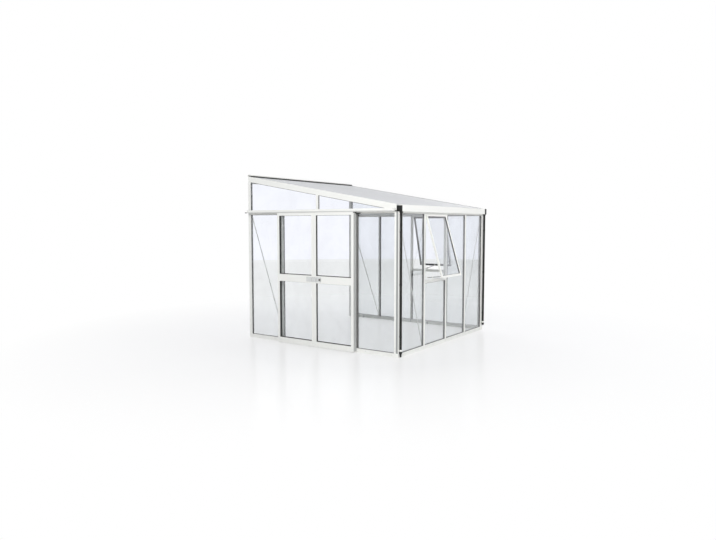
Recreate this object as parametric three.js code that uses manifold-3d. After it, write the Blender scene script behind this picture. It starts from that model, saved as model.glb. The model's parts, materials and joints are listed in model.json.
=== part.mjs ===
// Lean-to greenhouse: white aluminium frame, clear glass walls, opal twin-wall roof.
// Millimetres, +Z up. The masonry wall that it leans on is the plane at the +Y end, the eaves
// wall faces -Y, the sliding doors are in the -X gable. The origin lies under the middle of the
// front sill, on the ground.
import * as THREE from "three";
import { mergeVertices } from "three/addons/utils/BufferGeometryUtils.js";
import Module from "manifold-3d";

const wasm = await Module();
wasm.setup();

// Overall sizes
const WIDTH = 2960; // along the masonry wall
const END_BAY = 760; // eaves wall, from a corner to the middle of the first mullion
const GABLE_BAYS = 4;
const GABLE_BAY = 740; // gables, from post middle to post middle
const DEPTH = GABLE_BAYS * GABLE_BAY; // from the masonry wall to the face of the eaves wall
const HEAD_BOTTOM = 2074; // height of the doorway and of the wall panes
const ROOF_PITCH = 10; // degrees

// Gaps and overruns
const FIT = 0.3; // between pieces that touch
const OVERRUN = 5; // how far a cutter reaches past what it cuts
const WELD = 0.0003; // corners nearer than this are one corner

// What all frame profiles share
const SKIN = 3; // wall of a profile
const GASKET = 4; // rubber in front of a pane
const GLASS = 4;
const FRAME_DEPTH = 45;
const REBATE = 14; // depth of the glass slots in sills, heads and rails
const SIDE_REBATE = 12; // depth of the glass slots in posts
const GLASS_FRONT = SKIN + GASKET;
const GLASS_BACK = GLASS_FRONT + GLASS;
const BODY = GLASS_BACK + FIT; // where the box of a profile starts behind its outer flange

// Base frame
const SILL_HEIGHT = 60;
const SILL_DEPTH = 50;

// Posts and mullions
const MULLION_FACE = 48;
const MULLION_BOX = 24;
const MULLION_STEM = 4;
const JAMB_FACE = 60;
const JAMB_BOX = 30;
const CORNER_FRONT_FACE = 96;
const CORNER_GABLE_FACE = 78;
const WALL_POST_FACE = 60;

// Head, gutter and the vent hinge groove in the head's underside
const HEAD_HEIGHT = 24; // under the gutter
const TRANSOM_HEIGHT = 44; // on the gables
const GUTTER_HEIGHT = 92;
const GUTTER_REACH = 50; // in front of the eaves wall's face
const GUTTER_LIP = 5;
const HINGE_INSET = 19; // hinge centre behind the wall's face
const HINGE_RISE = 8; // hinge centre over the head's underside
const BEAD_RADIUS = 5;
const GROOVE_RADIUS = 5.4;
const GROOVE_WALL = 6;
const NECK = 3;
const THROAT_ROOM = 0.4; // on each side of the neck
const ARC_STEP = 15; // degrees between points of the groove

// Downpipes
const PIPE_RADIUS = 17;
const PIPE_BORE = 15;
const PIPE_INSET = 20; // pipe middle from the gable's face
const PIPE_OUT = 22; // pipe middle in front of the eaves wall's face
const PIPE_CLIP_RADIUS = 19;
const PIPE_SHOE_RADIUS = 21;
const PIPE_SHOE_BOTTOM = 45;
const PIPE_SHOE_TOP = 94;
const PIPE_CLIP_TOP = 120;
const HOPPER_HEIGHT = 18;
const HOPPER_HALF = 19;
const END_CAP = 4;
const END_CAP_DROP = 6; // under the gutter's rim
const PAD_HALF = 8;
const PAD_HEIGHT = 14;
const PAD_LEVELS = [300, 1050, 1800];
const ROUND_STEPS = 20;

// Roof
const ROOF_RISE = 8; // roof's top over the gutter's rim, at the face of the eaves wall
const ROOF_START = HEAD_BOTTOM + HEAD_HEIGHT + GUTTER_HEIGHT + ROOF_RISE;
const RAFTER_HEIGHT = 90;
const SHEET = 10;
const SHEET_DROP = 3.7; // top of a roof sheet under the rafter's top edge
const SHEET_SKIN = 1.2;
const SHEET_CELLS = 20;
const SHEET_JOINT = 4;
const SHEET_FRONT = 14; // front edge of the sheets, over the gutter
const BAR_HEIGHT = 46;
const BAR_TOP_FACE = 50;
const BAR_FOOT_FACE = 24;
const BAR_WEB = 4;
const PLATE_HEIGHT = 145; // wall plate
const PLATE_RISE = 25; // over the roof's top
const NOSE_REACH = 38;
const NOSE_DROP = 20;

// Braces
const BRACE_WIDTH = 18;
const BRACE_THICKNESS = 4;
const BRACE_FOOT = 80;
const BRACE_FRONT_DROP = 40; // upper end under the doorway's height, eaves wall
const BRACE_GABLE_RISE = 16; // upper end over the doorway's height, gables
const BRACE_CORNER_INSET = 62;

// Sliding doors
const DOOR_FACE = 90; // face of the doors in front of the gable's face
const JAMB_REAR = GABLE_BAY; // jambs' middles from the masonry wall
const JAMB_FRONT = DEPTH - GABLE_BAY;
const MEETING = (JAMB_REAR + JAMB_FRONT) / 2;
const LEAF_OVERLAP = 10; // how much wider than half the doorway a leaf is
const LEAF_WIDTH = MEETING - JAMB_REAR + LEAF_OVERLAP;
const LEAF_CORNER = 12; // radius of the outer top corner
const LEAF_BOTTOM = 12;
const LEAF_RISE = 24; // over the doorway
const LEAF_TOP = HEAD_BOTTOM + LEAF_RISE;
const LEAF_GAP = 3; // between the closed leaves
const LEAF_DEPTH = 28;
const STILE = 45;
const TOP_RAIL = 44;
const BOTTOM_RAIL = 84;
const MID_RAIL = 114;
const MID_RAIL_MIDDLE = 1065;
const LEG_DEPTH = 22; // how deep the legs round the glass are
const RETURN_DEPTH = 75; // outer stile, from the door's face back to the gable
const HANDLE_PLATE = 4;
const HANDLE_WIDTH = 136;
const HANDLE_HEIGHT = 72;
const HANDLE_INSET = 9; // from the leaf's closing edge
const GRIP_INSET = 34;
const GRIP_THICKNESS = 5;
const GRIP_REACH = 16;
const GRIP_HEIGHT = 52;

// Lock in the right leaf
const KNOB_RADIUS = 11;
const KNOB_REACH = 14;
const KNOB_INSET = 122; // from the leaf's closing edge
const SPINDLE_RADIUS = 4;
const SPINDLE_ROOM = 0.3;
const CAM_INSET = 8; // behind the door's face
const CAM_THICKNESS = 4;
const CAM_WIDTH = 12;
const CAM_LENGTH = 36;
const KNOB_RIB = 4;

// Track and rollers
const LEDGE_RISE = 13; // over the leaves
const LEDGE_TOP = LEAF_TOP + LEDGE_RISE;
const TRACK_ROOM = 33; // between ledge and web
const TRACK_TOP = LEDGE_TOP + TRACK_ROOM + SKIN;
const TRACK_REACH = 95;
const TRACK_LIP = 31;
const TRACK_FOOT = 12; // back plate's lower edge over the doorway
const TRACK_INSET = 56; // from either end of the gable
const LEDGE_REACH = 61;
const RIB_WIDTH = 1.6;
const RIB_HEIGHT = 2.4;
const ROLLER_RADIUS = 12;
const ROLLER_GROOVE = 2.7;
const ROLLER_WIDTH = 10;
const ROLLER_SLOT = 2.2;
const ROLLER_BEVEL = 0.7;
const ROLLER_MIDDLE = 56; // in front of the gable's face
const AXLE_RADIUS = 3;
const AXLE_ROOM = 0.3;
const AXLE_COLLAR = 5;
const AXLE_HEAD = 2;
const HANGER_FACE = 66;
const HANGER_WIDTH = 36;
const HANGER_RISE = 8; // over the axle
const HANGER_INSET = 90; // from the leaf's edges

// Vents
const VENT_OPEN = 16.4; // degrees, as it stands
const VENT_TRAVEL = 4; // degrees, how much further it opens
const SASH_GAP = 4; // to the mullions' faces
const SASH_DROP = 16; // top of the sash under the hinge centre
const RAIL_MIDDLE = 1040; // vent rail
const RAIL_HEIGHT = 40;
const SASH_RAIL_GAP = 4;
const SASH_FACE = 34;
const SASH_DEPTH = 26;
const SASH_WEB_INSET = 18;
const SASH_WEB = 4;
const SASH_BACK_INSET = 8;
const BEAD_END = 5;

// Vent stays
const STAY_PIN_INSET = 34; // behind the wall's face with the vent shut
const STAY_PIN_RISE = 20; // over the sash's lower edge
const STAY_LENGTH = 395;
const STAY_HEIGHT = 14;
const STAY_THICKNESS = 4;
const STAY_EYE = 8;
const STAY_PIN = 3.2;
const STAY_BORE = 3.5;
const FORK_THICKNESS = 4;
const GUIDE_INSET = 55;
const GUIDE_THICKNESS = 4;
const GUIDE_WIDTH = 26;
const GUIDE_HEIGHT = 42;
const GUIDE_ROOM = 1.5; // over and under the stay
const GUIDE_SIDE_ROOM = 0.6;

// Colours as the finished object shows them
const whitePaint = { color: 0xf6f6f1, roughness: 0.45, metalness: 0.1 };
const clearGlass = { color: 0xdfe8ea, roughness: 0.05, metalness: 0, transparent: true, opacity: 0.3 };
const opalSheet = { color: 0xd9dcdc, roughness: 0.35, metalness: 0, transparent: true, opacity: 0.85 };
const blackPlastic = { color: 0x1c1c1a, roughness: 0.5, metalness: 0 };
const nylon = { color: 0xd8d5c8, roughness: 0.55, metalness: 0 };
const bareMetal = { color: 0xb9bab8, roughness: 0.35, metalness: 0.9 };
const darkMetal = { color: 0x77766f, roughness: 0.4, metalness: 0.8 };

const radians = THREE.MathUtils.degToRad;
const ROOF_SLOPE = Math.tan(radians(ROOF_PITCH));
const roofHeight = (fromFront) => ROOF_START + ROOF_SLOPE * fromFront;

// Shapes: u runs along a wall, v into the greenhouse from the wall's face, z up
const outline = (points) => new THREE.Shape(points.map(([x, y]) => new THREE.Vector2(x, y)));

// An outline carried along its normal, with holes right through it
function prism(points, holes, length) {
  const extruded = (corners, from, to) => {
    const bar = new THREE.ExtrudeGeometry(outline(corners), { depth: to - from, bevelEnabled: false });
    return bar.translate(0, 0, from);
  };
  const full = extruded(points, 0, length);
  if (!holes.length) return full;
  const cutters = holes.map((hole) => extruded(hole, -OVERRUN, length + OVERRUN));
  return geometryOf(solid(full).subtract(joined(cutters)));
}

// A section in (v, z) carried along u
function alongU(points, holes, from, to) {
  const turn = new THREE.Matrix4().set(0, 0, 1, from, 1, 0, 0, 0, 0, 1, 0, 0, 0, 0, 0, 1);
  return prism(points, holes, to - from).applyMatrix4(turn);
}

// An outline in (u, z) carried along v
function alongV(points, holes, from, to) {
  const turn = new THREE.Matrix4().set(1, 0, 0, 0, 0, 0, -1, to, 0, 1, 0, 0, 0, 0, 0, 1);
  return prism(points, holes, to - from).applyMatrix4(turn);
}

// A section in (u, v) carried upwards
const alongZ = (points, holes, from, to) => prism(points, holes, to - from).translate(0, 0, from);

function block(a, b) {
  const size = a.map((value, i) => Math.abs(b[i] - value));
  const middle = a.map((value, i) => (value + b[i]) / 2);
  return new THREE.BoxGeometry(...size).translate(...middle);
}

// A round bar along v, or along u
function rodV(radius, u, z, from, to) {
  return new THREE.CylinderGeometry(radius, radius, to - from, ROUND_STEPS).translate(u, (from + to) / 2, z);
}

function rodU(radius, v, z, from, to) {
  const bar = new THREE.CylinderGeometry(radius, radius, to - from, ROUND_STEPS);
  return bar.rotateZ(Math.PI / 2).translate((from + to) / 2, v, z);
}

const rectangle = (x0, y0, x1, y1) => [[x0, y0], [x1, y0], [x1, y1], [x0, y1]];

// Joins and cuts
function solid(geometry) {
  const bare = geometry.clone();
  bare.deleteAttribute("normal");
  bare.deleteAttribute("uv");
  const merged = mergeVertices(bare, WELD);
  const triVerts = new Uint32Array(merged.index.array);
  const vertProperties = merged.attributes.position.array;
  return new wasm.Manifold(new wasm.Mesh({ numProp: 3, vertProperties, triVerts }));
}

const joined = (geometries) => geometries.map(solid).reduce((all, next) => all.add(next));

function geometryOf(made) {
  const { vertProperties, triVerts } = made.getMesh();
  return new THREE.BufferGeometry()
    .setAttribute("position", new THREE.BufferAttribute(new Float32Array(vertProperties), 3))
    .setIndex(new THREE.BufferAttribute(new Uint32Array(triVerts), 1));
}

function piece(name, geometry, look, group) {
  const mesh = new THREE.Mesh(geometry, new THREE.MeshStandardMaterial(look));
  mesh.name = name;
  group.add(mesh);
  return mesh;
}

// Walls: each group's u starts at its left end, seen from outside
const greenhouse = new THREE.Group();
const frontWall = new THREE.Group();
const doorGable = new THREE.Group();
const ventGable = new THREE.Group();
const roof = new THREE.Group();
greenhouse.add(frontWall, doorGable, ventGable, roof);
frontWall.position.set(-WIDTH / 2, -SILL_DEPTH / 2, 0);
doorGable.position.set(-WIDTH / 2, DEPTH - SILL_DEPTH / 2, 0);
doorGable.rotation.z = -Math.PI / 2;
ventGable.position.set(WIDTH / 2, -SILL_DEPTH / 2, 0);
ventGable.rotation.z = Math.PI / 2;
roof.position.set(0, -SILL_DEPTH / 2, 0);

// On a gable, at(s) is u at the distance s from the eaves wall's face
const gables = [
  { name: "door_gable", group: doorGable, at: (s) => DEPTH - s },
  { name: "vent_gable", group: ventGable, at: (s) => s },
];
const sides = [
  { name: "left", sign: -1, at: (a) => a },
  { name: "right", sign: 1, at: (a) => WIDTH - a },
];
const FRONT_MULLIONS = [END_BAY, WIDTH / 2, WIDTH - END_BAY];
const GABLE_MULLIONS = Array.from({ length: GABLE_BAYS - 1 }, (_, i) => (i + 1) * GABLE_BAY);
const UNDER_HEAD = HEAD_BOTTOM - FIT;
const OVER_SILL = SILL_HEIGHT + FIT;
const TRANSOM_TOP = HEAD_BOTTOM + TRANSOM_HEIGHT;
const ROOF_BACK = DEPTH - SKIN - FIT; // where rafters and bars meet the wall plate

// Base frame: three hollow sills, mitred into one U, with a glass slot in their top
function makeBaseFrame() {
  const full = rectangle(0, 0, SILL_DEPTH, SILL_HEIGHT);
  const floor = SILL_HEIGHT - REBATE;
  const slot = rectangle(SKIN, floor, BODY, SILL_HEIGHT + OVERRUN);
  const hollow = [
    [SKIN, SKIN],
    [SILL_DEPTH - SKIN, SKIN],
    [SILL_DEPTH - SKIN, SILL_HEIGHT - SKIN],
    [BODY + SKIN, SILL_HEIGHT - SKIN],
    [BODY + SKIN, floor - SKIN],
    [SKIN, floor - SKIN],
  ];
  // Each run lies from its start to its end in its own wall's frame, then goes to the world
  const runs = (section, inset, overrun) => {
    const front = alongU(section, [], inset, WIDTH - inset).applyMatrix4(frontWall.matrix);
    const left = alongU(section, [], -overrun, DEPTH - inset).applyMatrix4(doorGable.matrix);
    const right = alongU(section, [], inset, DEPTH + overrun).applyMatrix4(ventGable.matrix);
    return joined([front, left, right]);
  };
  [frontWall, doorGable, ventGable].forEach((wall) => wall.updateMatrix());
  const made = runs(full, 0, 0)
    .subtract(runs(hollow, BODY + SKIN, OVERRUN))
    .subtract(runs(slot, SKIN, OVERRUN));
  piece("base_frame", geometryOf(made), whitePaint, greenhouse);
}

// Mullion section in (u, v) round its middle: outer flange, stem and box
function mullionSection(face, box) {
  const half = box / 2;
  const stem = MULLION_STEM / 2;
  const points = [
    [-face / 2, 0],
    [face / 2, 0],
    [face / 2, SKIN],
    [stem, SKIN],
    [stem, BODY],
    [half, BODY],
    [half, FRAME_DEPTH],
    [-half, FRAME_DEPTH],
    [-half, BODY],
    [-stem, BODY],
    [-stem, SKIN],
    [-face / 2, SKIN],
  ];
  return [points, [rectangle(SKIN - half, BODY + SKIN, half - SKIN, FRAME_DEPTH - SKIN)]];
}

function makeMullion(name, middle, group, face = MULLION_FACE, box = MULLION_BOX) {
  const geometry = alongZ(...mullionSection(face, box), OVER_SILL, UNDER_HEAD);
  piece(name, geometry.translate(middle, 0, 0), whitePaint, group);
}

// Corner post: one leg along each wall, notched at the top for the gutter
function makeCornerPost(side) {
  const legEnd = CORNER_GABLE_FACE;
  const face = CORNER_FRONT_FACE;
  const slotA = face - SIDE_REBATE;
  const slotB = legEnd - SIDE_REBATE;
  const inner = FRAME_DEPTH - SKIN;
  const points = [
    [0, 0],
    [face, 0],
    [face, SKIN],
    [slotA, SKIN],
    [slotA, BODY],
    [face, BODY],
    [face, FRAME_DEPTH],
    [FRAME_DEPTH, FRAME_DEPTH],
    [FRAME_DEPTH, legEnd],
    [BODY, legEnd],
    [BODY, slotB],
    [SKIN, slotB],
    [SKIN, legEnd],
    [0, legEnd],
  ];
  const hollow = [
    [SKIN, SKIN],
    [slotA - SKIN, SKIN],
    [slotA - SKIN, BODY + SKIN],
    [face - SKIN, BODY + SKIN],
    [face - SKIN, inner],
    [inner, inner],
    [inner, legEnd - SKIN],
    [BODY + SKIN, legEnd - SKIN],
    [BODY + SKIN, slotB - SKIN],
    [SKIN, slotB - SKIN],
  ];
  const place = ([a, b]) => [side.at(a), b];
  const top = roofHeight(FRAME_DEPTH) - RAFTER_HEIGHT - FIT;
  const post = solid(alongZ(points.map(place), [hollow.map(place)], OVER_SILL, top));
  const notch = block(
    [side.at(-OVERRUN), -OVERRUN, HEAD_BOTTOM + HEAD_HEIGHT - FIT],
    [side.at(face + OVERRUN), FRAME_DEPTH + FIT, top + OVERRUN],
  );
  piece(side.name + "_corner_post", geometryOf(post.subtract(solid(notch))), whitePaint, frontWall);
}

// Post against the masonry wall, cut to the rafter's slope
function makeWallPost(gable, name) {
  const start = DEPTH - WALL_POST_FACE;
  const slot = start + SIDE_REBATE;
  const points = [
    [start, 0],
    [DEPTH, 0],
    [DEPTH, FRAME_DEPTH],
    [start, FRAME_DEPTH],
    [start, BODY],
    [slot, BODY],
    [slot, SKIN],
    [start, SKIN],
  ];
  const hollow = [
    [slot + SKIN, SKIN],
    [DEPTH - SKIN, SKIN],
    [DEPTH - SKIN, FRAME_DEPTH - SKIN],
    [start + SKIN, FRAME_DEPTH - SKIN],
    [start + SKIN, BODY + SKIN],
    [slot + SKIN, BODY + SKIN],
  ];
  const place = ([s, v]) => [gable.at(s), v];
  const under = (s) => roofHeight(s) - RAFTER_HEIGHT - FIT;
  const top = under(DEPTH);
  const post = solid(alongZ(points.map(place), [hollow.map(place)], OVER_SILL, top));
  const wedge = [
    [start - OVERRUN, under(start - OVERRUN)],
    [DEPTH + OVERRUN, under(DEPTH + OVERRUN)],
    [DEPTH + OVERRUN, top + OVERRUN],
    [start - OVERRUN, top + OVERRUN],
  ].map(([s, z]) => [gable.at(s), z]);
  const cutter = solid(alongV(wedge, [], -OVERRUN, FRAME_DEPTH + OVERRUN));
  piece(name, geometryOf(post.subtract(cutter)), whitePaint, gable.group);
}

// Underside of every head, from the outer flange to the inner face, with the glass slot and the
// C-shaped groove that a vent's bead hangs in. Its throat leaves room for the neck from shut to open.
function headUnderside() {
  const swing = radians(VENT_OPEN + VENT_TRAVEL);
  const half = NECK / 2 + THROAT_ROOM;
  const along = Math.sqrt(GROOVE_RADIUS ** 2 - half ** 2);
  const across = [-Math.cos(swing), Math.sin(swing)];
  const down = [-Math.sin(swing), -Math.cos(swing)];
  const leftTop = [half * across[0] + along * down[0], half * across[1] + along * down[1]];
  const reach = (HINGE_RISE + half * across[1]) / -down[1];
  const leftFoot = [half * across[0] + reach * down[0], -HINGE_RISE];
  const first = THREE.MathUtils.radToDeg(Math.atan2(leftTop[1], leftTop[0])) + 360;
  const last = THREE.MathUtils.radToDeg(Math.atan2(-along, half));
  const steps = Math.round((first - last) / ARC_STEP);
  const arc = Array.from({ length: steps + 1 }, (_, i) => {
    const angle = radians(first + ((last - first) * i) / steps);
    return [GROOVE_RADIUS * Math.cos(angle), GROOVE_RADIUS * Math.sin(angle)];
  });
  const groove = [leftFoot, ...arc, [half, -HINGE_RISE]];
  return [
    [0, 0],
    [SKIN, 0],
    [SKIN, REBATE],
    [BODY, REBATE],
    [BODY, 0],
    ...groove.map(([v, z]) => [HINGE_INSET + v, HINGE_RISE + z]),
    [FRAME_DEPTH, 0],
  ];
}

const raised = (points, by) => points.map(([v, z]) => [v, z + by]);

// Hollows of a head: one over the groove, one beside it
function headHollows(top) {
  const over = REBATE + SKIN;
  const beside = HINGE_INSET + GROOVE_RADIUS + GROOVE_WALL;
  return [rectangle(SKIN, over, FRAME_DEPTH - SKIN, top), rectangle(beside, SKIN, FRAME_DEPTH - SKIN, REBATE)];
}

// Eaves gutter: the head of the eaves wall, between the posts, with the open channel on top
function makeGutter() {
  const floor = HEAD_HEIGHT + SKIN;
  const rim = HEAD_HEIGHT + GUTTER_HEIGHT;
  const outer = -GUTTER_REACH;
  const lip = outer + SKIN + GUTTER_LIP;
  const channel = [
    [outer, HEAD_HEIGHT],
    [FRAME_DEPTH, HEAD_HEIGHT],
    [FRAME_DEPTH, rim],
    [FRAME_DEPTH - SKIN, rim],
    [FRAME_DEPTH - SKIN, floor],
    [outer + SKIN, floor],
    [outer + SKIN, rim - SKIN],
    [lip, rim - SKIN],
    [lip, rim],
    [outer, rim],
  ];
  const head = [...headUnderside(), [FRAME_DEPTH, floor], [0, floor]];
  const hollows = headHollows(HEAD_HEIGHT - SKIN).map((hole) => raised(hole, HEAD_BOTTOM));
  const end = END_CAP + FIT;
  const post = CORNER_FRONT_FACE + FIT;
  const made = joined([
    alongU(raised(channel, HEAD_BOTTOM), [], end, WIDTH - end),
    alongU(raised(head, HEAD_BOTTOM), hollows, post, WIDTH - post),
  ]);
  const bottom = HEAD_BOTTOM + HEAD_HEIGHT;
  const outlets = [PIPE_INSET, WIDTH - PIPE_INSET].map((u) => {
    const hole = new THREE.CylinderGeometry(PIPE_BORE, PIPE_BORE, 2 * (SKIN + OVERRUN), ROUND_STEPS);
    return hole.rotateX(Math.PI / 2).translate(u, -PIPE_OUT, bottom);
  });
  piece("eaves_gutter", geometryOf(made.subtract(joined(outlets))), whitePaint, frontWall);
}

// Black downpipe with the gutter's end cap and hopper at its top and a shoe at its foot
function makeDownpipe(side) {
  const top = HEAD_BOTTOM + HEAD_HEIGHT - FIT;
  const rim = HEAD_BOTTOM + HEAD_HEIGHT + GUTTER_HEIGHT - END_CAP_DROP;
  const u = side.at(PIPE_INSET);
  const disc = (radius, from, to) => {
    const drum = new THREE.CylinderGeometry(radius, radius, to - from, ROUND_STEPS).rotateX(Math.PI / 2);
    return drum.translate(u, -PIPE_OUT, (from + to) / 2);
  };
  const pads = PAD_LEVELS.map((z) =>
    block([u - PAD_HALF, -PIPE_OUT, z], [u + PAD_HALF, -FIT, z + PAD_HEIGHT]),
  );
  const outside = joined([
    disc(PIPE_RADIUS, PIPE_SHOE_BOTTOM, top),
    disc(PIPE_CLIP_RADIUS, PIPE_SHOE_BOTTOM, PIPE_CLIP_TOP),
    disc(PIPE_SHOE_RADIUS, PIPE_SHOE_BOTTOM, PIPE_SHOE_TOP),
    block([u - HOPPER_HALF, -PIPE_OUT - HOPPER_HALF, top - HOPPER_HEIGHT], [u + HOPPER_HALF, -FIT, top]),
    block([side.at(0), -GUTTER_REACH, top - SKIN], [side.at(END_CAP), -FIT, rim]),
    block([side.at(0), -GUTTER_REACH, top + FIT], [side.at(END_CAP), FRAME_DEPTH, rim]),
    ...pads,
  ]);
  const bore = disc(PIPE_BORE, PIPE_SHOE_BOTTOM - OVERRUN, top + OVERRUN);
  piece(side.name + "_downpipe", geometryOf(outside.subtract(solid(bore))), blackPlastic, frontWall);
}

// Head of a gable: transom with the king bar on its middle. The top pane passes between the
// king bar's outer strip and its inner box.
function makeHeadFrame(gable) {
  const points = [
    ...headUnderside(),
    [FRAME_DEPTH, TRANSOM_HEIGHT],
    [BODY, TRANSOM_HEIGHT],
    [BODY, TRANSOM_HEIGHT - REBATE],
    [SKIN, TRANSOM_HEIGHT - REBATE],
    [SKIN, TRANSOM_HEIGHT],
    [0, TRANSOM_HEIGHT],
  ];
  const hollows = headHollows(TRANSOM_HEIGHT - REBATE - SKIN);
  const section = [raised(points, HEAD_BOTTOM), hollows.map((hole) => raised(hole, HEAD_BOTTOM))];
  const ends = [CORNER_GABLE_FACE + FIT, DEPTH - WALL_POST_FACE - FIT].map(gable.at).sort((a, b) => a - b);
  const middle = DEPTH / 2;
  const foot = TRANSOM_TOP - SKIN;
  const bar = (half, v0, v1) => {
    const top = (s) => roofHeight(s) - RAFTER_HEIGHT - FIT;
    const corners = [
      [middle - half, foot],
      [middle + half, foot],
      [middle + half, top(middle + half)],
      [middle - half, top(middle - half)],
    ];
    return solid(alongV(corners.map(([s, z]) => [gable.at(s), z]), [], v0, v1));
  };
  const boxHalf = MULLION_BOX / 2;
  const core = solid(
    block(
      [gable.at(middle - boxHalf + SKIN), BODY + SKIN, TRANSOM_TOP],
      [gable.at(middle + boxHalf - SKIN), FRAME_DEPTH - SKIN, roofHeight(middle)],
    ),
  );
  const made = solid(alongU(...section, ...ends))
    .add(bar(MULLION_FACE / 2, 0, SKIN))
    .add(bar(boxHalf, BODY, FRAME_DEPTH))
    .subtract(core);
  piece(gable.name + "_head_frame", geometryOf(made), whitePaint, gable.group);
}

// Rail under a vent, between two mullions, with the guide that the stay slides through
function makeVentRail(name, from, to, group) {
  const bottom = RAIL_MIDDLE - RAIL_HEIGHT / 2;
  const top = bottom + RAIL_HEIGHT;
  const lip = [
    [0, bottom],
    [SKIN, bottom],
    [SKIN, bottom + REBATE],
    [BODY + SKIN, bottom + REBATE],
    [BODY + SKIN, top],
    [0, top],
  ];
  const box = rectangle(BODY, bottom, FRAME_DEPTH, top);
  const hollow = rectangle(BODY + SKIN, bottom + SKIN, FRAME_DEPTH - SKIN, top - SKIN);
  const faceEnd = MULLION_FACE / 2 + FIT;
  const boxEnd = MULLION_BOX / 2 + FIT;
  const u = (from + to) / 2;
  const half = GUIDE_WIDTH / 2;
  const guideBack = GUIDE_INSET + GUIDE_THICKNESS / 2;
  const pinHeight = top + SASH_RAIL_GAP + STAY_PIN_RISE;
  const windowHalf = STAY_HEIGHT / 2 + GUIDE_ROOM;
  const windowSide = STAY_THICKNESS / 2 + GUIDE_SIDE_ROOM;
  const solidRail = joined([
    alongU(lip, [], from + faceEnd, to - faceEnd),
    alongU(box, [hollow], from + boxEnd, to - boxEnd),
    block([u - half, FRAME_DEPTH - SKIN, top - SKIN], [u + half, guideBack, top]),
    block([u - half, guideBack - GUIDE_THICKNESS, top - SKIN], [u + half, guideBack, top + GUIDE_HEIGHT]),
  ]);
  const slot = block(
    [u - windowSide, guideBack - GUIDE_THICKNESS - SKIN, pinHeight - windowHalf],
    [u + windowSide, guideBack + OVERRUN, pinHeight + windowHalf],
  );
  piece(name, geometryOf(solidRail.subtract(solid(slot))), whitePaint, group);
}

// A vent and its stay hang in a group whose origin is the hinge centre
function makeVent(name, from, to, group) {
  const swing = new THREE.Group();
  swing.position.set((from + to) / 2, HINGE_INSET, HEAD_BOTTOM + HINGE_RISE);
  swing.rotation.x = -radians(VENT_OPEN);
  group.add(swing);
  const half = (to - from) / 2 - MULLION_FACE / 2 - SASH_GAP;
  const top = -SASH_DROP;
  const bottom = RAIL_MIDDLE + RAIL_HEIGHT / 2 + SASH_RAIL_GAP - HEAD_BOTTOM - HINGE_RISE;
  const front = -HINGE_INSET;
  const ring = (outer, inner, v0, v1) =>
    alongV(
      rectangle(outer - half, bottom + outer, half - outer, top - outer),
      [rectangle(inner - half, bottom + inner, half - inner, top - inner)],
      front + v0,
      front + v1,
    );
  const legs = SASH_FACE - SKIN;
  const pinV = STAY_PIN_INSET - HINGE_INSET;
  const pinZ = bottom + STAY_PIN_RISE;
  const forkFrom = STAY_THICKNESS / 2 + FIT;
  const forkTo = forkFrom + FORK_THICKNESS;
  const fork = (sign) =>
    block(
      [sign * forkFrom, front + BODY + SKIN / 2, pinZ - STAY_EYE],
      [sign * forkTo, pinV + STAY_EYE, pinZ + STAY_EYE],
    );
  const beadHalf = half - BEAD_END;
  const sash = joined([
    ring(0, SASH_FACE, 0, SKIN),
    ring(SASH_WEB_INSET, SASH_WEB_INSET + SASH_WEB, SKIN / 2, BODY + SKIN / 2),
    ring(SASH_BACK_INSET, SASH_FACE, BODY, BODY + SKIN),
    ring(SASH_BACK_INSET, SASH_BACK_INSET + SKIN, BODY + SKIN / 2, SASH_DEPTH),
    ring(legs, SASH_FACE, BODY + SKIN / 2, SASH_DEPTH),
    block([-beadHalf, -NECK / 2, top - SASH_BACK_INSET - SKIN / 2], [beadHalf, NECK / 2, 0]),
    rodU(BEAD_RADIUS, 0, 0, -beadHalf, beadHalf),
    fork(1),
    fork(-1),
    rodU(STAY_PIN, pinV, pinZ, -forkTo, forkTo),
  ]);
  piece(name + "_vent_sash", geometryOf(sash), whitePaint, swing);
  const edge = SASH_WEB_INSET + SASH_WEB + FIT;
  const pane = block(
    [edge - half, front + GLASS_FRONT, bottom + edge],
    [half - edge, front + GLASS_BACK, top - edge],
  );
  piece(name + "_vent_pane", pane, clearGlass, swing);
  makeStay(name, swing, pinV, pinZ);
}

// Stay: a flat bar that turns on the sash's pin and slides through the rail's guide
function makeStay(name, swing, pinV, pinZ) {
  const open = radians(VENT_OPEN);
  const pinOut = GUIDE_INSET - HINGE_INSET - pinV * Math.cos(open) - pinZ * Math.sin(open);
  const pinUp = pinZ * Math.cos(open) - pinV * Math.sin(open) - pinZ;
  const tilt = Math.atan2(pinUp, pinOut);
  const shape = new THREE.Shape();
  shape.absarc(0, 0, STAY_EYE, Math.PI / 3, -Math.PI / 3, false);
  shape.lineTo(STAY_EYE, -STAY_HEIGHT / 2);
  shape.lineTo(STAY_LENGTH, -STAY_HEIGHT / 2);
  shape.lineTo(STAY_LENGTH, STAY_HEIGHT / 2);
  shape.lineTo(STAY_EYE, STAY_HEIGHT / 2);
  const bore = new THREE.Path();
  bore.absarc(0, 0, STAY_BORE, 0, 2 * Math.PI, true);
  shape.holes = [bore];
  const bar = new THREE.ExtrudeGeometry(shape, {
    depth: STAY_THICKNESS,
    bevelEnabled: false,
    curveSegments: ROUND_STEPS,
  });
  // From (length, height, thickness) to (v, z, u)
  const turn = new THREE.Matrix4().set(0, 0, 1, -STAY_THICKNESS / 2, 1, 0, 0, 0, 0, 1, 0, 0, 0, 0, 0, 1);
  const stay = piece(name + "_vent_stay", bar.applyMatrix4(turn), bareMetal, swing);
  stay.position.set(0, pinV, pinZ);
  stay.rotation.x = open - tilt;
}

// A plain pane in a wall, given by its edges
function makePane(name, from, to, bottom, top, group) {
  piece(name, block([from, GLASS_FRONT, bottom], [to, GLASS_BACK, top]), clearGlass, group);
}

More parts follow.
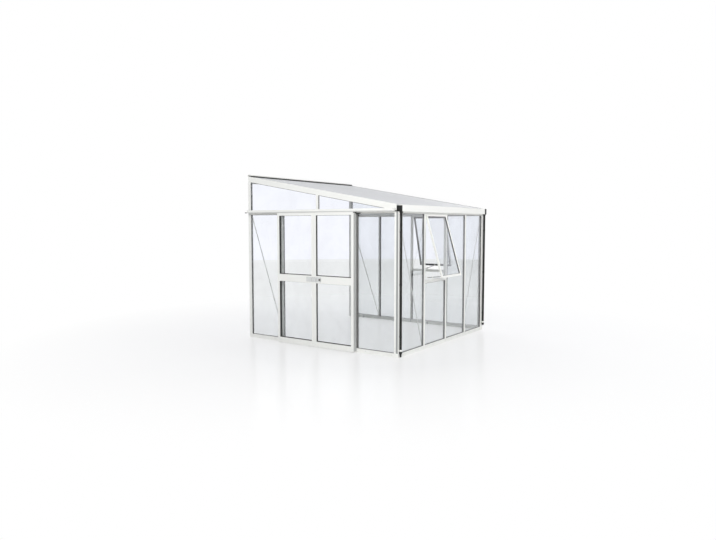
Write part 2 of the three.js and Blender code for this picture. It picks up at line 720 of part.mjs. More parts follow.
const paneEdge = MULLION_STEM / 2 + FIT; // from a mullion's middle
const PANE_BOTTOM = SILL_HEIGHT - REBATE + FIT;
const PANE_TOP = HEAD_BOTTOM + REBATE - FIT;
const LOW_PANE_TOP = RAIL_MIDDLE - RAIL_HEIGHT / 2 + REBATE - FIT;

function makeFrontPanes() {
  const corner = CORNER_FRONT_FACE - SIDE_REBATE + FIT;
  const marks = [0, ...FRONT_MULLIONS, WIDTH];
  marks.slice(1).forEach((to, i) => {
    const left = i ? marks[i] + paneEdge : corner;
    const right = i < FRONT_MULLIONS.length ? to - paneEdge : WIDTH - corner;
    makePane("front_pane_" + (i + 1), left, right, PANE_BOTTOM, i === 1 ? LOW_PANE_TOP : PANE_TOP, frontWall);
  });
}

const cornerGlass = CORNER_GABLE_FACE - SIDE_REBATE + FIT;
const wallGlass = DEPTH - WALL_POST_FACE + SIDE_REBATE - FIT;

function makeVentGablePanes() {
  const marks = [0, ...GABLE_MULLIONS, DEPTH];
  marks.slice(1).forEach((to, i) => {
    const left = i ? marks[i] + paneEdge : cornerGlass;
    const right = i < GABLE_MULLIONS.length ? to - paneEdge : wallGlass;
    const top = i === 1 ? LOW_PANE_TOP : PANE_TOP;
    makePane("vent_gable_pane_" + (i + 1), left, right, PANE_BOTTOM, top, ventGable);
  });
}

function makeDoorGablePanes() {
  const rear = [DEPTH - wallGlass, JAMB_REAR - paneEdge];
  const front = [JAMB_FRONT + paneEdge, DEPTH - cornerGlass];
  makePane("door_gable_pane_rear", ...rear, PANE_BOTTOM, PANE_TOP, doorGable);
  makePane("door_gable_pane_front", ...front, PANE_BOTTOM, PANE_TOP, doorGable);
}

// Top pane of a gable, from the transom up to the rafter
function makeTopPane(gable) {
  const bottom = TRANSOM_TOP - REBATE + FIT;
  const top = (s) => roofHeight(s) - RAFTER_HEIGHT + REBATE - FIT;
  const near = CORNER_GABLE_FACE + FIT;
  const points = [
    [near, bottom],
    [wallGlass, bottom],
    [wallGlass, top(wallGlass)],
    [near, top(near)],
  ];
  const geometry = alongV(points.map(([s, z]) => [gable.at(s), z]), [], GLASS_FRONT, GLASS_BACK);
  piece(gable.name + "_top_pane", geometry, clearGlass, gable.group);
}

// Flat brace on the inner face of the posts, from its top to its foot
function makeBrace(name, top, foot, group) {
  const along = Math.atan2(foot[1] - top[1], foot[0] - top[0]);
  const shape = new THREE.Shape();
  const radius = BRACE_WIDTH / 2;
  shape.absarc(...top, radius, along + Math.PI / 2, along + (3 * Math.PI) / 2, false);
  shape.absarc(...foot, radius, along - Math.PI / 2, along + Math.PI / 2, false);
  const bar = new THREE.ExtrudeGeometry(shape, {
    depth: BRACE_THICKNESS,
    bevelEnabled: false,
    curveSegments: ROUND_STEPS / 2,
  });
  const back = FRAME_DEPTH + FIT + BRACE_THICKNESS;
  const turn = new THREE.Matrix4().set(1, 0, 0, 0, 0, 0, -1, back, 0, 1, 0, 0, 0, 0, 0, 1);
  piece(name, bar.applyMatrix4(turn), whitePaint, group);
}

function makeBraces() {
  sides.forEach((side, i) => {
    const foot = side.at(END_BAY);
    const head = [side.at(BRACE_CORNER_INSET), HEAD_BOTTOM - BRACE_FRONT_DROP];
    makeBrace(side.name + "_front_brace", head, [foot, BRACE_FOOT], frontWall);
    const gable = gables[i];
    const top = [gable.at(DEPTH - WALL_POST_FACE / 2), HEAD_BOTTOM + BRACE_GABLE_RISE];
    makeBrace(gable.name + "_brace", top, [gable.at(DEPTH - GABLE_BAY), BRACE_FOOT], gable.group);
  });
}

// A roof member: a section in (x, height) carried from front to back, rising with the roof
function sloped(points, holes, from, to) {
  const rise = new THREE.Matrix4().set(1, 0, 0, 0, 0, 1, 0, 0, 0, ROOF_SLOPE, 1, ROOF_START, 0, 0, 0, 1);
  return alongV(points, holes, from, to).applyMatrix4(rise);
}

// Rafter in a gable: white outer face, ledge for the roof sheet, slot for the top pane
function makeRafter(side) {
  const ledge = -SHEET_DROP - SHEET - FIT;
  const slotTop = REBATE - RAFTER_HEIGHT;
  const foot = -RAFTER_HEIGHT;
  const points = [
    [0, 0],
    [SKIN, 0],
    [SKIN, ledge],
    [FRAME_DEPTH, ledge],
    [FRAME_DEPTH, ledge - SKIN],
    [SKIN, ledge - SKIN],
    [SKIN, slotTop + SKIN],
    [BODY + SKIN, slotTop + SKIN],
    [BODY + SKIN, foot + SKIN],
    [FRAME_DEPTH, foot + SKIN],
    [FRAME_DEPTH, foot],
    [BODY, foot],
    [BODY, slotTop],
    [SKIN, slotTop],
    [SKIN, foot],
    [0, foot],
  ];
  const place = ([a, z]) => [side.sign * (WIDTH / 2 - a), z];
  const geometry = sloped(points.map(place), [], FRAME_DEPTH + FIT, ROOF_BACK);
  piece(side.name + "_rafter", geometry, whitePaint, roof);
}

function makeRoofBar(name, x) {
  const top = -SHEET_DROP - SHEET - FIT;
  const foot = top - BAR_HEIGHT;
  const points = [
    [-BAR_TOP_FACE / 2, top],
    [-BAR_TOP_FACE / 2, top - SKIN],
    [-BAR_WEB / 2, top - SKIN],
    [-BAR_WEB / 2, foot + SKIN],
    [-BAR_FOOT_FACE / 2, foot + SKIN],
    [-BAR_FOOT_FACE / 2, foot],
  ];
  const mirrored = points.map(([a, z]) => [-a, z]).reverse();
  piece(name, sloped([...points, ...mirrored], [], FRAME_DEPTH + FIT, ROOF_BACK).translate(x, 0, 0), whitePaint, roof);
}

// Opal twin-wall sheet with open cells from eaves to wall
function makeRoofSheet(side) {
  const outer = WIDTH / 2 - SKIN - FIT;
  const inner = SHEET_JOINT / 2;
  const top = -SHEET_DROP;
  const pitch = (outer - inner - SHEET_SKIN) / SHEET_CELLS;
  const cells = Array.from({ length: SHEET_CELLS }, (_, i) => {
    const start = inner + SHEET_SKIN + i * pitch;
    return rectangle(start, top - SHEET + SHEET_SKIN, start + pitch - SHEET_SKIN, top - SHEET_SKIN);
  });
  const place = (points) => points.map(([x, z]) => [side.sign * x, z]);
  const full = rectangle(inner, top - SHEET, outer, top);
  const geometry = sloped(place(full), cells.map(place), SHEET_FRONT, ROOF_BACK);
  piece(side.name + "_roof_sheet", geometry, opalSheet, roof);
}

// Wall plate: back strip on the masonry with a channel that covers the sheets' upper edge
function makeWallPlate() {
  const back = DEPTH;
  const nose = back - NOSE_REACH;
  const top = roofHeight(DEPTH) + PLATE_RISE;
  const foot = top - PLATE_HEIGHT;
  const points = [
    [back, foot],
    [back, top],
    [nose, top],
    [nose, top - NOSE_DROP],
    [nose + SKIN, top - NOSE_DROP],
    [nose + SKIN, top - SKIN],
    [back - SKIN, top - SKIN],
    [back - SKIN, foot],
  ];
  const inset = FRAME_DEPTH + FIT;
  const full = solid(alongU(points, [], -WIDTH / 2, WIDTH / 2));
  const corner = (sign) =>
    solid(
      block(
        [sign * (WIDTH / 2 - inset), nose - OVERRUN, foot - OVERRUN],
        [sign * (WIDTH / 2 + OVERRUN), back + OVERRUN, roofHeight(DEPTH) - RAFTER_HEIGHT + FIT],
      ),
    );
  piece("wall_plate", geometryOf(full.subtract(corner(1)).subtract(corner(-1))), whitePaint, roof);
}

// Sliding doors: leaf frames as open channels, the glass set in from behind
const AXLE_HEIGHT = LEDGE_TOP + FIT + ROLLER_RADIUS;
const leaves = [
  { name: "left", start: MEETING - LEAF_GAP / 2 - LEAF_WIDTH, closing: 1 },
  { name: "right", start: MEETING + LEAF_GAP / 2, closing: -1 },
];

// inward(a) is u at the distance a from the leaf's closing edge
function closingEdge(leaf) {
  const edge = leaf.closing > 0 ? leaf.start + LEAF_WIDTH : leaf.start;
  return (a) => edge - leaf.closing * a;
}

function makeDoorFrame(leaf) {
  const { start } = leaf;
  const end = start + LEAF_WIDTH;
  const face = -DOOR_FACE;
  const back = face + LEAF_DEPTH;
  const legs = face + LEG_DEPTH;
  const midBottom = MID_RAIL_MIDDLE - MID_RAIL / 2;
  const midTop = midBottom + MID_RAIL;
  const inward = closingEdge(leaf);
  const cut = (u0, u1, v0, v1, z0, z1) => solid(block([u0, v0, z0], [u1, v1, z1]));
  const bars = [
    [LEAF_BOTTOM, LEAF_BOTTOM + BOTTOM_RAIL],
    [midBottom, midTop],
    [LEAF_TOP - TOP_RAIL, LEAF_TOP],
  ];
  const skinBack = face + SKIN;
  let frame = cut(start, end, face, back, LEAF_BOTTOM, LEAF_TOP)
    .subtract(cut(start + SKIN, end - SKIN, legs, back + OVERRUN, LEAF_BOTTOM + SKIN, LEAF_TOP - SKIN))
    .subtract(cut(start + STILE, end - STILE, face - OVERRUN, back, bars[0][1], midBottom))
    .subtract(cut(start + STILE, end - STILE, face - OVERRUN, back, midTop, bars[2][0]));
  bars.forEach(([z0, z1]) => {
    frame = frame.subtract(cut(start + STILE, end - STILE, skinBack, back, z0 + SKIN, z1 - SKIN));
  });
  [start, end - STILE].forEach((u) => {
    const hollow = cut(u + SKIN, u + STILE - SKIN, skinBack, back, LEAF_BOTTOM + SKIN, LEAF_TOP - SKIN);
    frame = frame.subtract(hollow);
  });
  const outerEdge = inward(LEAF_WIDTH);
  frame = frame.add(
    cut(outerEdge, inward(LEAF_WIDTH - SKIN), back - SKIN, face + RETURN_DEPTH, LEAF_BOTTOM, LEAF_TOP),
  );
  const plateFace = face - HANDLE_PLATE;
  const plateLow = MID_RAIL_MIDDLE - HANDLE_HEIGHT / 2;
  const gripLow = MID_RAIL_MIDDLE - GRIP_HEIGHT / 2;
  const plate = cut(
    inward(HANDLE_INSET),
    inward(HANDLE_INSET + HANDLE_WIDTH),
    plateFace,
    skinBack,
    plateLow,
    plateLow + HANDLE_HEIGHT,
  );
  const grip = cut(
    inward(GRIP_INSET),
    inward(GRIP_INSET + GRIP_THICKNESS),
    plateFace - GRIP_REACH,
    skinBack,
    gripLow,
    gripLow + GRIP_HEIGHT,
  );
  frame = frame.add(plate).add(grip).add(hangers(leaf));
  if (leaf.closing < 0) {
    const hole = rodV(SPINDLE_RADIUS + SPINDLE_ROOM, inward(KNOB_INSET), MID_RAIL_MIDDLE, plateFace - OVERRUN, legs);
    frame = frame.subtract(solid(hole));
  }
  frame = frame.subtract(cornerCutter(leaf));
  piece(leaf.name + "_door_frame", geometryOf(frame), whitePaint, doorGable);
  const edge = SKIN + FIT;
  const glass = block(
    [start + edge, legs + FIT, LEAF_BOTTOM + edge],
    [end - edge, legs + FIT + GLASS, LEAF_TOP - edge],
  );
  piece(leaf.name + "_door_pane", glass, clearGlass, doorGable);
}

// What is left of a square when its quarter disc is taken out: it rounds the outer top corner
function cornerCutter(leaf) {
  const inward = closingEdge(leaf);
  const middle = [inward(LEAF_WIDTH - LEAF_CORNER), LEAF_TOP - LEAF_CORNER];
  const front = -DOOR_FACE - OVERRUN;
  const square = block(
    [middle[0], front, middle[1]],
    [inward(LEAF_WIDTH + OVERRUN), RETURN_DEPTH + OVERRUN - DOOR_FACE, LEAF_TOP + OVERRUN],
  );
  return solid(square).subtract(solid(rodV(LEAF_CORNER, ...middle, front - OVERRUN, RETURN_DEPTH)));
}

const rollerMiddles = (leaf) => [leaf.start + HANGER_INSET, leaf.start + LEAF_WIDTH - HANGER_INSET];

// Hanger plates on the top rail, each with the axle of one roller
function hangers(leaf) {
  const plateBack = -HANGER_FACE;
  const rollerFront = -ROLLER_MIDDLE - ROLLER_WIDTH / 2;
  const rollerBack = rollerFront + ROLLER_WIDTH;
  return joined(
    rollerMiddles(leaf).flatMap((u) => [
      block(
        [u - HANGER_WIDTH / 2, plateBack - SKIN, LEAF_TOP - SKIN / 2],
        [u + HANGER_WIDTH / 2, plateBack, AXLE_HEIGHT + HANGER_RISE],
      ),
      rodV(AXLE_COLLAR, u, AXLE_HEIGHT, plateBack - SKIN / 2, rollerFront - FIT),
      rodV(AXLE_RADIUS, u, AXLE_HEIGHT, plateBack - SKIN / 2, rollerBack + FIT + AXLE_HEAD / 2),
      rodV(AXLE_COLLAR, u, AXLE_HEIGHT, rollerBack + FIT, rollerBack + FIT + AXLE_HEAD),
    ]),
  );
}

// Nylon roller with a groove that runs over the track's rib
function makeRoller(name, u) {
  const half = ROLLER_WIDTH / 2;
  const slot = ROLLER_SLOT / 2;
  const bore = AXLE_RADIUS + AXLE_ROOM;
  const floor = ROLLER_RADIUS - ROLLER_GROOVE;
  const profile = [
    [bore, -half],
    [ROLLER_RADIUS, -half],
    [ROLLER_RADIUS, -slot - ROLLER_BEVEL],
    [floor, -slot],
    [floor, slot],
    [ROLLER_RADIUS, slot + ROLLER_BEVEL],
    [ROLLER_RADIUS, half],
    [bore, half],
    [bore, -half],
  ].map(([r, w]) => new THREE.Vector2(r, w));
  const roller = piece(name, geometryOf(solid(new THREE.LatheGeometry(profile, ROUND_STEPS))), nylon, doorGable);
  roller.position.set(u, -ROLLER_MIDDLE, AXLE_HEIGHT);
}

// Knob, spindle and cam in one: it turns in the right leaf's mid rail
function makeLockKnob() {
  const u = closingEdge(leaves[1])(KNOB_INSET);
  const plateFace = -DOOR_FACE - HANDLE_PLATE;
  const knobFront = plateFace - KNOB_REACH;
  const camFront = CAM_INSET - DOOR_FACE;
  const camBack = camFront + CAM_THICKNESS;
  const half = CAM_WIDTH / 2;
  const made = joined([
    rodV(KNOB_RADIUS, u, MID_RAIL_MIDDLE, knobFront, plateFace - FIT),
    rodV(SPINDLE_RADIUS, u, MID_RAIL_MIDDLE, knobFront + KNOB_RIB, camBack),
    block(
      [u - KNOB_RIB / 2, knobFront - KNOB_RIB, MID_RAIL_MIDDLE - KNOB_RADIUS],
      [u + KNOB_RIB / 2, knobFront + KNOB_RIB, MID_RAIL_MIDDLE + KNOB_RADIUS],
    ),
    block([u - half, camFront, MID_RAIL_MIDDLE + half - CAM_LENGTH], [u + half, camBack, MID_RAIL_MIDDLE + half]),
  ]);
  piece("lock_knob", geometryOf(made), darkMetal, doorGable);
}

// Track: back plate on the transom, web, outer lip and the ledge with the rollers' rib
function makeTrack() {
  const back = -FIT;
  const ledgeBottom = LEDGE_TOP - SKIN;
  const ribTop = LEDGE_TOP + RIB_HEIGHT;
  const points = [
    [back, HEAD_BOTTOM + TRACK_FOOT],
    [back, TRACK_TOP],
    [-TRACK_REACH, TRACK_TOP],
    [-TRACK_REACH, TRACK_TOP - TRACK_LIP],
    [SKIN - TRACK_REACH, TRACK_TOP - TRACK_LIP],
    [SKIN - TRACK_REACH, TRACK_TOP - SKIN],
    [back - SKIN, TRACK_TOP - SKIN],
    [back - SKIN, LEDGE_TOP],
    [RIB_WIDTH / 2 - ROLLER_MIDDLE, LEDGE_TOP],
    [RIB_WIDTH / 2 - ROLLER_MIDDLE, ribTop],
    [-RIB_WIDTH / 2 - ROLLER_MIDDLE, ribTop],
    [-RIB_WIDTH / 2 - ROLLER_MIDDLE, LEDGE_TOP],
    [-LEDGE_REACH, LEDGE_TOP],
    [-LEDGE_REACH, ledgeBottom],
    [back - SKIN, ledgeBottom],
    [back - SKIN, HEAD_BOTTOM + TRACK_FOOT],
  ];
  piece("door_track", alongU(points, [], TRACK_INSET, DEPTH - TRACK_INSET), whitePaint, doorGable);
}

makeBaseFrame();
sides.forEach(makeCornerPost);
gables.forEach((gable, i) => makeWallPost(gable, sides[i].name + "_wall_post"));
makeGutter();
sides.forEach(makeDownpipe);
gables.forEach(makeHeadFrame);
gables.forEach(makeTopPane);
FRONT_MULLIONS.forEach((u, i) => makeMullion("front_mullion_" + (i + 1), u, frontWall));
GABLE_MULLIONS.forEach((u, i) => makeMullion("vent_gable_mullion_" + (i + 1), u, ventGable));
makeMullion("door_jamb_rear", JAMB_REAR, doorGable, JAMB_FACE, JAMB_BOX);
makeMullion("door_jamb_front", JAMB_FRONT, doorGable, JAMB_FACE, JAMB_BOX);
makeFrontPanes();
makeVentGablePanes();
makeDoorGablePanes();
makeBraces();
sides.forEach(makeRafter);
sides.forEach(makeRoofSheet);
FRONT_MULLIONS.forEach((u, i) => makeRoofBar("roof_bar_" + (i + 1), u - WIDTH / 2));
makeWallPlate();
makeVentRail("front_vent_rail", FRONT_MULLIONS[0], FRONT_MULLIONS[1], frontWall);
makeVentRail("gable_vent_rail", GABLE_MULLIONS[0], GABLE_MULLIONS[1], ventGable);
makeVent("front", FRONT_MULLIONS[0], FRONT_MULLIONS[1], frontWall);
makeVent("gable", GABLE_MULLIONS[0], GABLE_MULLIONS[1], ventGable);
leaves.forEach(makeDoorFrame);
leaves.forEach((leaf) =>
  rollerMiddles(leaf).forEach((u, i) => makeRoller(leaf.name + "_door_roller_" + (i + 1), u)),
);
makeLockKnob();
makeTrack();

export default greenhouse;
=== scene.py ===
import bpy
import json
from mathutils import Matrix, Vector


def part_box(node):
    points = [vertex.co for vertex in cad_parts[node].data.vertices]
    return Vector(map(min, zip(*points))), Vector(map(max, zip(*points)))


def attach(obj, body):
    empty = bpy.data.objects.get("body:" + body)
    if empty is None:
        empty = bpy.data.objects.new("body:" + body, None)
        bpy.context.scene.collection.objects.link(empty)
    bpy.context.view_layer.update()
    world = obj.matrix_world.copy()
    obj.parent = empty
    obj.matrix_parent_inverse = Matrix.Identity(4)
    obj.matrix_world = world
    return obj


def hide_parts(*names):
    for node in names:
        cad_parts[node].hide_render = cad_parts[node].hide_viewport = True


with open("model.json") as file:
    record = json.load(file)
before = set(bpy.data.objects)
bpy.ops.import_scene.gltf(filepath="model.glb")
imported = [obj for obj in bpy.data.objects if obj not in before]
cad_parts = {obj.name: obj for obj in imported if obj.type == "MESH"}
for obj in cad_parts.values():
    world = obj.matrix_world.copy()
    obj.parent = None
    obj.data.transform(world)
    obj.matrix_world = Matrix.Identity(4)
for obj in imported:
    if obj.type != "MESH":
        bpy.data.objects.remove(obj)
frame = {"nodes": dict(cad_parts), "record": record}
"""Lean-to greenhouse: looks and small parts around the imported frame. The world is in metres, +Z up.
Sizes of pieces, and places in a wall's own frame, are in millimetres."""
import json
import math
from collections import namedtuple

import bmesh
import bpy
import numpy as np
from mathutils import Vector

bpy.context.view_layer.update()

MM = 0.001
DEGREE = math.pi / 180
UP = (0, 0, 1)

# Sizes of the frame that trims and seals follow
WIDTH = 2960
DEPTH = 2960
GABLE_BAY = 740
END_BAY = 760
SKIN = 3  # wall of a profile
SILL_HALF = 25  # the sill's middle lies this far behind the eaves wall's face
SILL_HEIGHT = 60
GLASS_FRONT = 7
GLASS_BACK = 11
FRAME_DEPTH = 45
HEAD_BOTTOM = 2074
TRANSOM_TOP = 2118
ROOF_START = 2198
ROOF_SLOPE = math.tan(10 * DEGREE)
SHEET = 10
SHEET_DROP = 3.7
SHEET_TOP = ROOF_START - SHEET_DROP  # over the eaves wall's face
SHEET_FRONT = 14
DOOR_FACE = -90
LEG_BACK = -68  # where the glass of a door leaf begins
VENT_OPEN = 16.4 * DEGREE
HINGE_INSET = 19
HINGE_HEIGHT = 2082
GAP = 0.1  # between a small part and the surface it sits on

# A wall's own frame: its origin in the world, and the directions along it, into the greenhouse and up
Wall = namedtuple("Wall", "origin along inward up")


def wall(origin, along, inward, up=UP):
    """A wall's frame from its origin in millimetres and its three directions."""
    return Wall(np.array(origin) * MM, *(np.array(v, float) for v in (along, inward, up)))


def at(w, u, v, z):
    """Points of a wall's frame in the world: origin plus each coordinate times its own direction."""
    u, v, z = np.broadcast_arrays(*(np.asarray(c, float) * MM for c in (u, v, z)))
    return w.origin + u[..., None] * w.along + v[..., None] * w.inward + z[..., None] * w.up


FRONT = wall((-WIDTH / 2, -SILL_HALF, 0), (1, 0, 0), (0, 1, 0))
DOOR_GABLE = wall((-WIDTH / 2, DEPTH - SILL_HALF, 0), (0, -1, 0), (1, 0, 0))
VENT_GABLE = wall((WIDTH / 2, -SILL_HALF, 0), (0, 1, 0), (-1, 0, 0))
SHEETS = wall((0, -SILL_HALF, SHEET_TOP), (1, 0, 0), (0, 1, ROOF_SLOPE))  # on the sheets' upper face


def hinged(w, middle):
    """A vent's frame at its hinge, turned open: its bottom swings outwards about the wall's own line."""
    origin = at(w, middle, HINGE_INSET, HINGE_HEIGHT)
    c, s = math.cos(VENT_OPEN), math.sin(VENT_OPEN)
    return Wall(origin, w.along, c * w.inward - s * w.up, s * w.inward + c * w.up)


# Camera at the photograph's viewing angle
CAMERA_PLACE = (-8.911, -4.484, 1.916)
CAMERA_YAW = 34.818 * DEGREE
CAMERA_DROP = 4.274 * DEGREE
SENSOR = 36
LENS = 30.694


def new_object(name, data):
    made = bpy.data.objects.new(name, data)
    bpy.context.scene.collection.objects.link(made)
    return made


def make_camera():
    data = bpy.data.cameras.new("camera")
    data.sensor_width = SENSOR
    data.lens = LENS
    camera = new_object("camera", data)
    camera.location = CAMERA_PLACE
    camera.rotation_euler = (math.pi / 2 - CAMERA_DROP, 0, CAMERA_YAW - math.pi / 2)
    bpy.context.scene.camera = camera


make_camera()


# Materials


def feed(tree, socket, value):
    """Gives a node's input a value, or a link from another node's output."""
    if isinstance(value, bpy.types.NodeSocket):
        tree.links.new(value, socket)
    else:
        socket.default_value = value


def set_inputs(tree, node, **inputs):
    """Feeds a node's inputs by their names, where an underscore stands for a space."""
    for name, value in inputs.items():
        feed(tree, node.inputs[name.replace("_", " ")], value)


def add_node(tree, kind, **inputs):
    node = tree.nodes.new("ShaderNode" + kind)
    set_inputs(tree, node, **inputs)
    return node


def value_node(tree, operation, a, b=None, clamp=False):
    """A Math node whose inputs are numbers or sockets."""
    node = add_node(tree, "Math")
    node.operation = operation
    node.use_clamp = clamp
    feed(tree, node.inputs[0], a)
    if b is not None:
        feed(tree, node.inputs[1], b)
    return node.outputs[0]


def blend_colours(tree, factor, a, b, mode="MIX"):
    """A Mix node on colours; each of a and b is a colour or a socket."""
    node = add_node(tree, "Mix")
    node.data_type = "RGBA"
    node.blend_type = mode
    for name, value in (("Factor", factor), ("A", a), ("B", b)):
        socket = next(s for s in node.inputs if s.name == name and s.enabled)
        feed(tree, socket, (*value, 1) if isinstance(value, tuple) else value)
    return next(s for s in node.outputs if s.enabled)


def mix_shaders(tree, factor, first, second):
    mix = add_node(tree, "MixShader")
    for socket, source in zip(mix.inputs, (factor, first, second)):
        tree.links.new(source, socket)
    return mix.outputs[0]


def object_place(tree):
    return add_node(tree, "TexCoord").outputs["Object"]


def coordinate(tree, place, axis):
    return add_node(tree, "SeparateXYZ", Vector=place).outputs[axis]


def noise(tree, place, scale, detail, roughness=0.5):
    node = add_node(tree, "TexNoise", Vector=place, Scale=scale, Detail=detail, Roughness=roughness)
    return node.outputs["Fac"]


def ramp(tree, value, low, high, to_low=0.0, to_high=1.0):
    """A clamped linear step from low to high."""
    node = add_node(tree, "MapRange", Value=value, From_Min=low, From_Max=high, To_Min=to_low, To_Max=to_high)
    return node.outputs["Result"]


def bumps(tree, height, strength, distance):
    """The normal of a Bump node; its distance is in millimetres."""
    return add_node(tree, "Bump", Height=height, Strength=strength, Distance=distance * MM).outputs["Normal"]


SURFACE_INPUTS = {
    "Colour": (0.8, 0.8, 0.8, 1),
    "Dust Colour": (0.5, 0.48, 0.44, 1),
    "Roughness": 0.5,
    "Grain Scale": 900,
    "Grain Depth": 0.2,
    "Unevenness": 0.1,
    "Dust": 0.2,
}
SURFACE_OUTPUTS = {"Colour": "Color", "Roughness": "Float", "Normal": "Vector"}
SOILED = (0.55, 0.55, 0.55)  # what the uneven parts of a finish are multiplied by
STREAK_STRETCH = (14, 14, 0.9)  # dust runs down in streaks
DUST_HEIGHT = 0.35  # metres over the ground
DUST_HIGHER = 0.12  # share of the dust that is left above that
DUST_ROUGHENS = 0.35
SOIL_ROUGHENS = 0.3


def make_surface_group():
    """Fine grain, broad unevenness and dust that gathers near the ground, for every solid finish."""
    group = bpy.data.node_groups.new("worn surface", "ShaderNodeTree")
    for name, default in SURFACE_INPUTS.items():
        kind = "Color" if isinstance(default, tuple) else "Float"
        socket = group.interface.new_socket(name=name, in_out="INPUT", socket_type="NodeSocket" + kind)
        socket.default_value = default
    for name, kind in SURFACE_OUTPUTS.items():
        group.interface.new_socket(name=name, in_out="OUTPUT", socket_type="NodeSocket" + kind)
    given = group.nodes.new("NodeGroupInput").outputs
    made = group.nodes.new("NodeGroupOutput").inputs
    place = object_place(group)
    broad = noise(group, place, scale=3.1, detail=4)
    stretched = add_node(group, "Mapping", Vector=place, Scale=STREAK_STRETCH).outputs["Vector"]
    streak = noise(group, stretched, scale=2.0, detail=5, roughness=0.6)
    low = ramp(group, coordinate(group, place, "Z"), 0.0, DUST_HEIGHT, to_low=1.0, to_high=DUST_HIGHER)
    dust = value_node(group, "MULTIPLY", low, ramp(group, streak, low=0.42, high=0.68))
    dust = value_node(group, "MULTIPLY", dust, given["Dust"], clamp=True)
    soil = value_node(group, "MULTIPLY", ramp(group, broad, low=0.3, high=0.7), given["Unevenness"])
    darker = blend_colours(group, soil, given["Colour"], SOILED, "MULTIPLY")
    group.links.new(blend_colours(group, dust, darker, given["Dust Colour"]), made["Colour"])
    rough = value_node(group, "ADD", given["Roughness"], value_node(group, "MULTIPLY", dust, DUST_ROUGHENS))
    rough = value_node(group, "ADD", rough, value_node(group, "MULTIPLY", soil, SOIL_ROUGHENS), clamp=True)
    group.links.new(rough, made["Roughness"])
    grain = noise(group, place, given["Grain Scale"], detail=3)
    group.links.new(bumps(group, grain, given["Grain Depth"], distance=0.2), made["Normal"])
    return group


SURFACE = make_surface_group()


def new_material(name):
    """A material, its nodes and its Principled shader."""
    material = bpy.data.materials.new(name)
    material.use_nodes = True
    tree = material.node_tree
    shader = tree.nodes["Principled BSDF"]
    return material, tree, shader


def finish_material(name, colour, roughness, metallic=0.0, grain=(900, 0.2), uneven=0.1, dust=0.2, **sockets):
    """A solid finish, whose shader the shared surface group feeds. A grain is its scale and its depth."""
    material, tree, shader = new_material(name)
    worn = add_node(tree, "Group")
    worn.node_tree = SURFACE
    scale, depth = grain
    set_inputs(tree, worn, Colour=(*colour, 1), Roughness=roughness, Grain_Scale=scale, Grain_Depth=depth)
    set_inputs(tree, worn, Unevenness=uneven, Dust=dust)
    made = worn.outputs
    set_inputs(tree, shader, Base_Color=made["Colour"], Roughness=made["Roughness"], Normal=made["Normal"])
    set_inputs(tree, shader, Metallic=metallic, **sockets)
    return material


GLASS_INDEX = 1.5
FILM_DIMS = 0.93  # the film's colour over the glass's own


def glass_material(name, tint, shade):
    """Clear float glass with a thin uneven film; lamps shine through it, weakened by the shade."""
    material, tree, shader = new_material(name)
    set_inputs(tree, shader, Transmission_Weight=1.0, IOR=GLASS_INDEX, Roughness=0.0)
    clouds = noise(tree, object_place(tree), scale=2.3, detail=6, roughness=0.65)
    film = ramp(tree, clouds, low=0.35, high=0.75)
    dusty = tuple(FILM_DIMS * c for c in tint)
    set_inputs(tree, shader, Base_Color=blend_colours(tree, film, tint, dusty))
    clear = add_node(tree, "BsdfTransparent", Color=(*(shade * c for c in tint), 1))
    shadow = add_node(tree, "LightPath").outputs["Is Shadow Ray"]
    both = mix_shaders(tree, shadow, shader.outputs[0], clear.outputs[0])
    set_inputs(tree, tree.nodes["Material Output"], Surface=both)
    return material


FLUTE = 16 * MM  # from web to web inside the sheet
WEB_SHARE = 0.12  # half of a web's shadow, as a share of the flute
# painted shadow of the roof bars under the sheet: a soft darker band along each bar
BAR_SHADOW = (0.02, 0.07)  # from a bar's middle: full up to the first share of a bay, gone at the second
BAR_SHADE_DARKENS = 0.45


def off_middle(tree, x, pitch, shift=0.0):
    """How far x is from the middle of its own pitch, as a share of the pitch."""
    turns = value_node(tree, "DIVIDE", x, pitch)
    if shift:
        turns = value_node(tree, "ADD", turns, shift)
    return value_node(tree, "ABSOLUTE", value_node(tree, "SUBTRACT", value_node(tree, "FRACT", turns), 0.5))


def sheet_material(name, colour, web_colour, transmission):
    """Opal twin-wall sheet: its webs show as fine darker lines, and painted shade makes soft darker bands
    over the bars under it.
    """
    material, tree, shader = new_material(name)
    place = object_place(tree)
    x = coordinate(tree, place, "X")
    web = ramp(tree, off_middle(tree, x, FLUTE), 0.5 - WEB_SHARE, 0.5)
    clouds = ramp(tree, noise(tree, place, scale=1.7, detail=4), low=0.3, high=0.7, to_high=0.2)
    # painted shade: darker bands over the bars under the sheet
    bar_shade = ramp(tree, off_middle(tree, x, GABLE_BAY * MM, 0.5), *BAR_SHADOW, to_low=BAR_SHADE_DARKENS, to_high=0.0)
    body = blend_colours(tree, value_node(tree, "MAXIMUM", clouds, bar_shade), colour, web_colour)
    striped = blend_colours(tree, web, body, web_colour)
    set_inputs(tree, shader, Base_Color=striped, Normal=bumps(tree, web, strength=0.15, distance=0.3))
    set_inputs(tree, shader, Roughness=0.4, Specular_IOR_Level=0.45, Transmission_Weight=transmission)
    return material


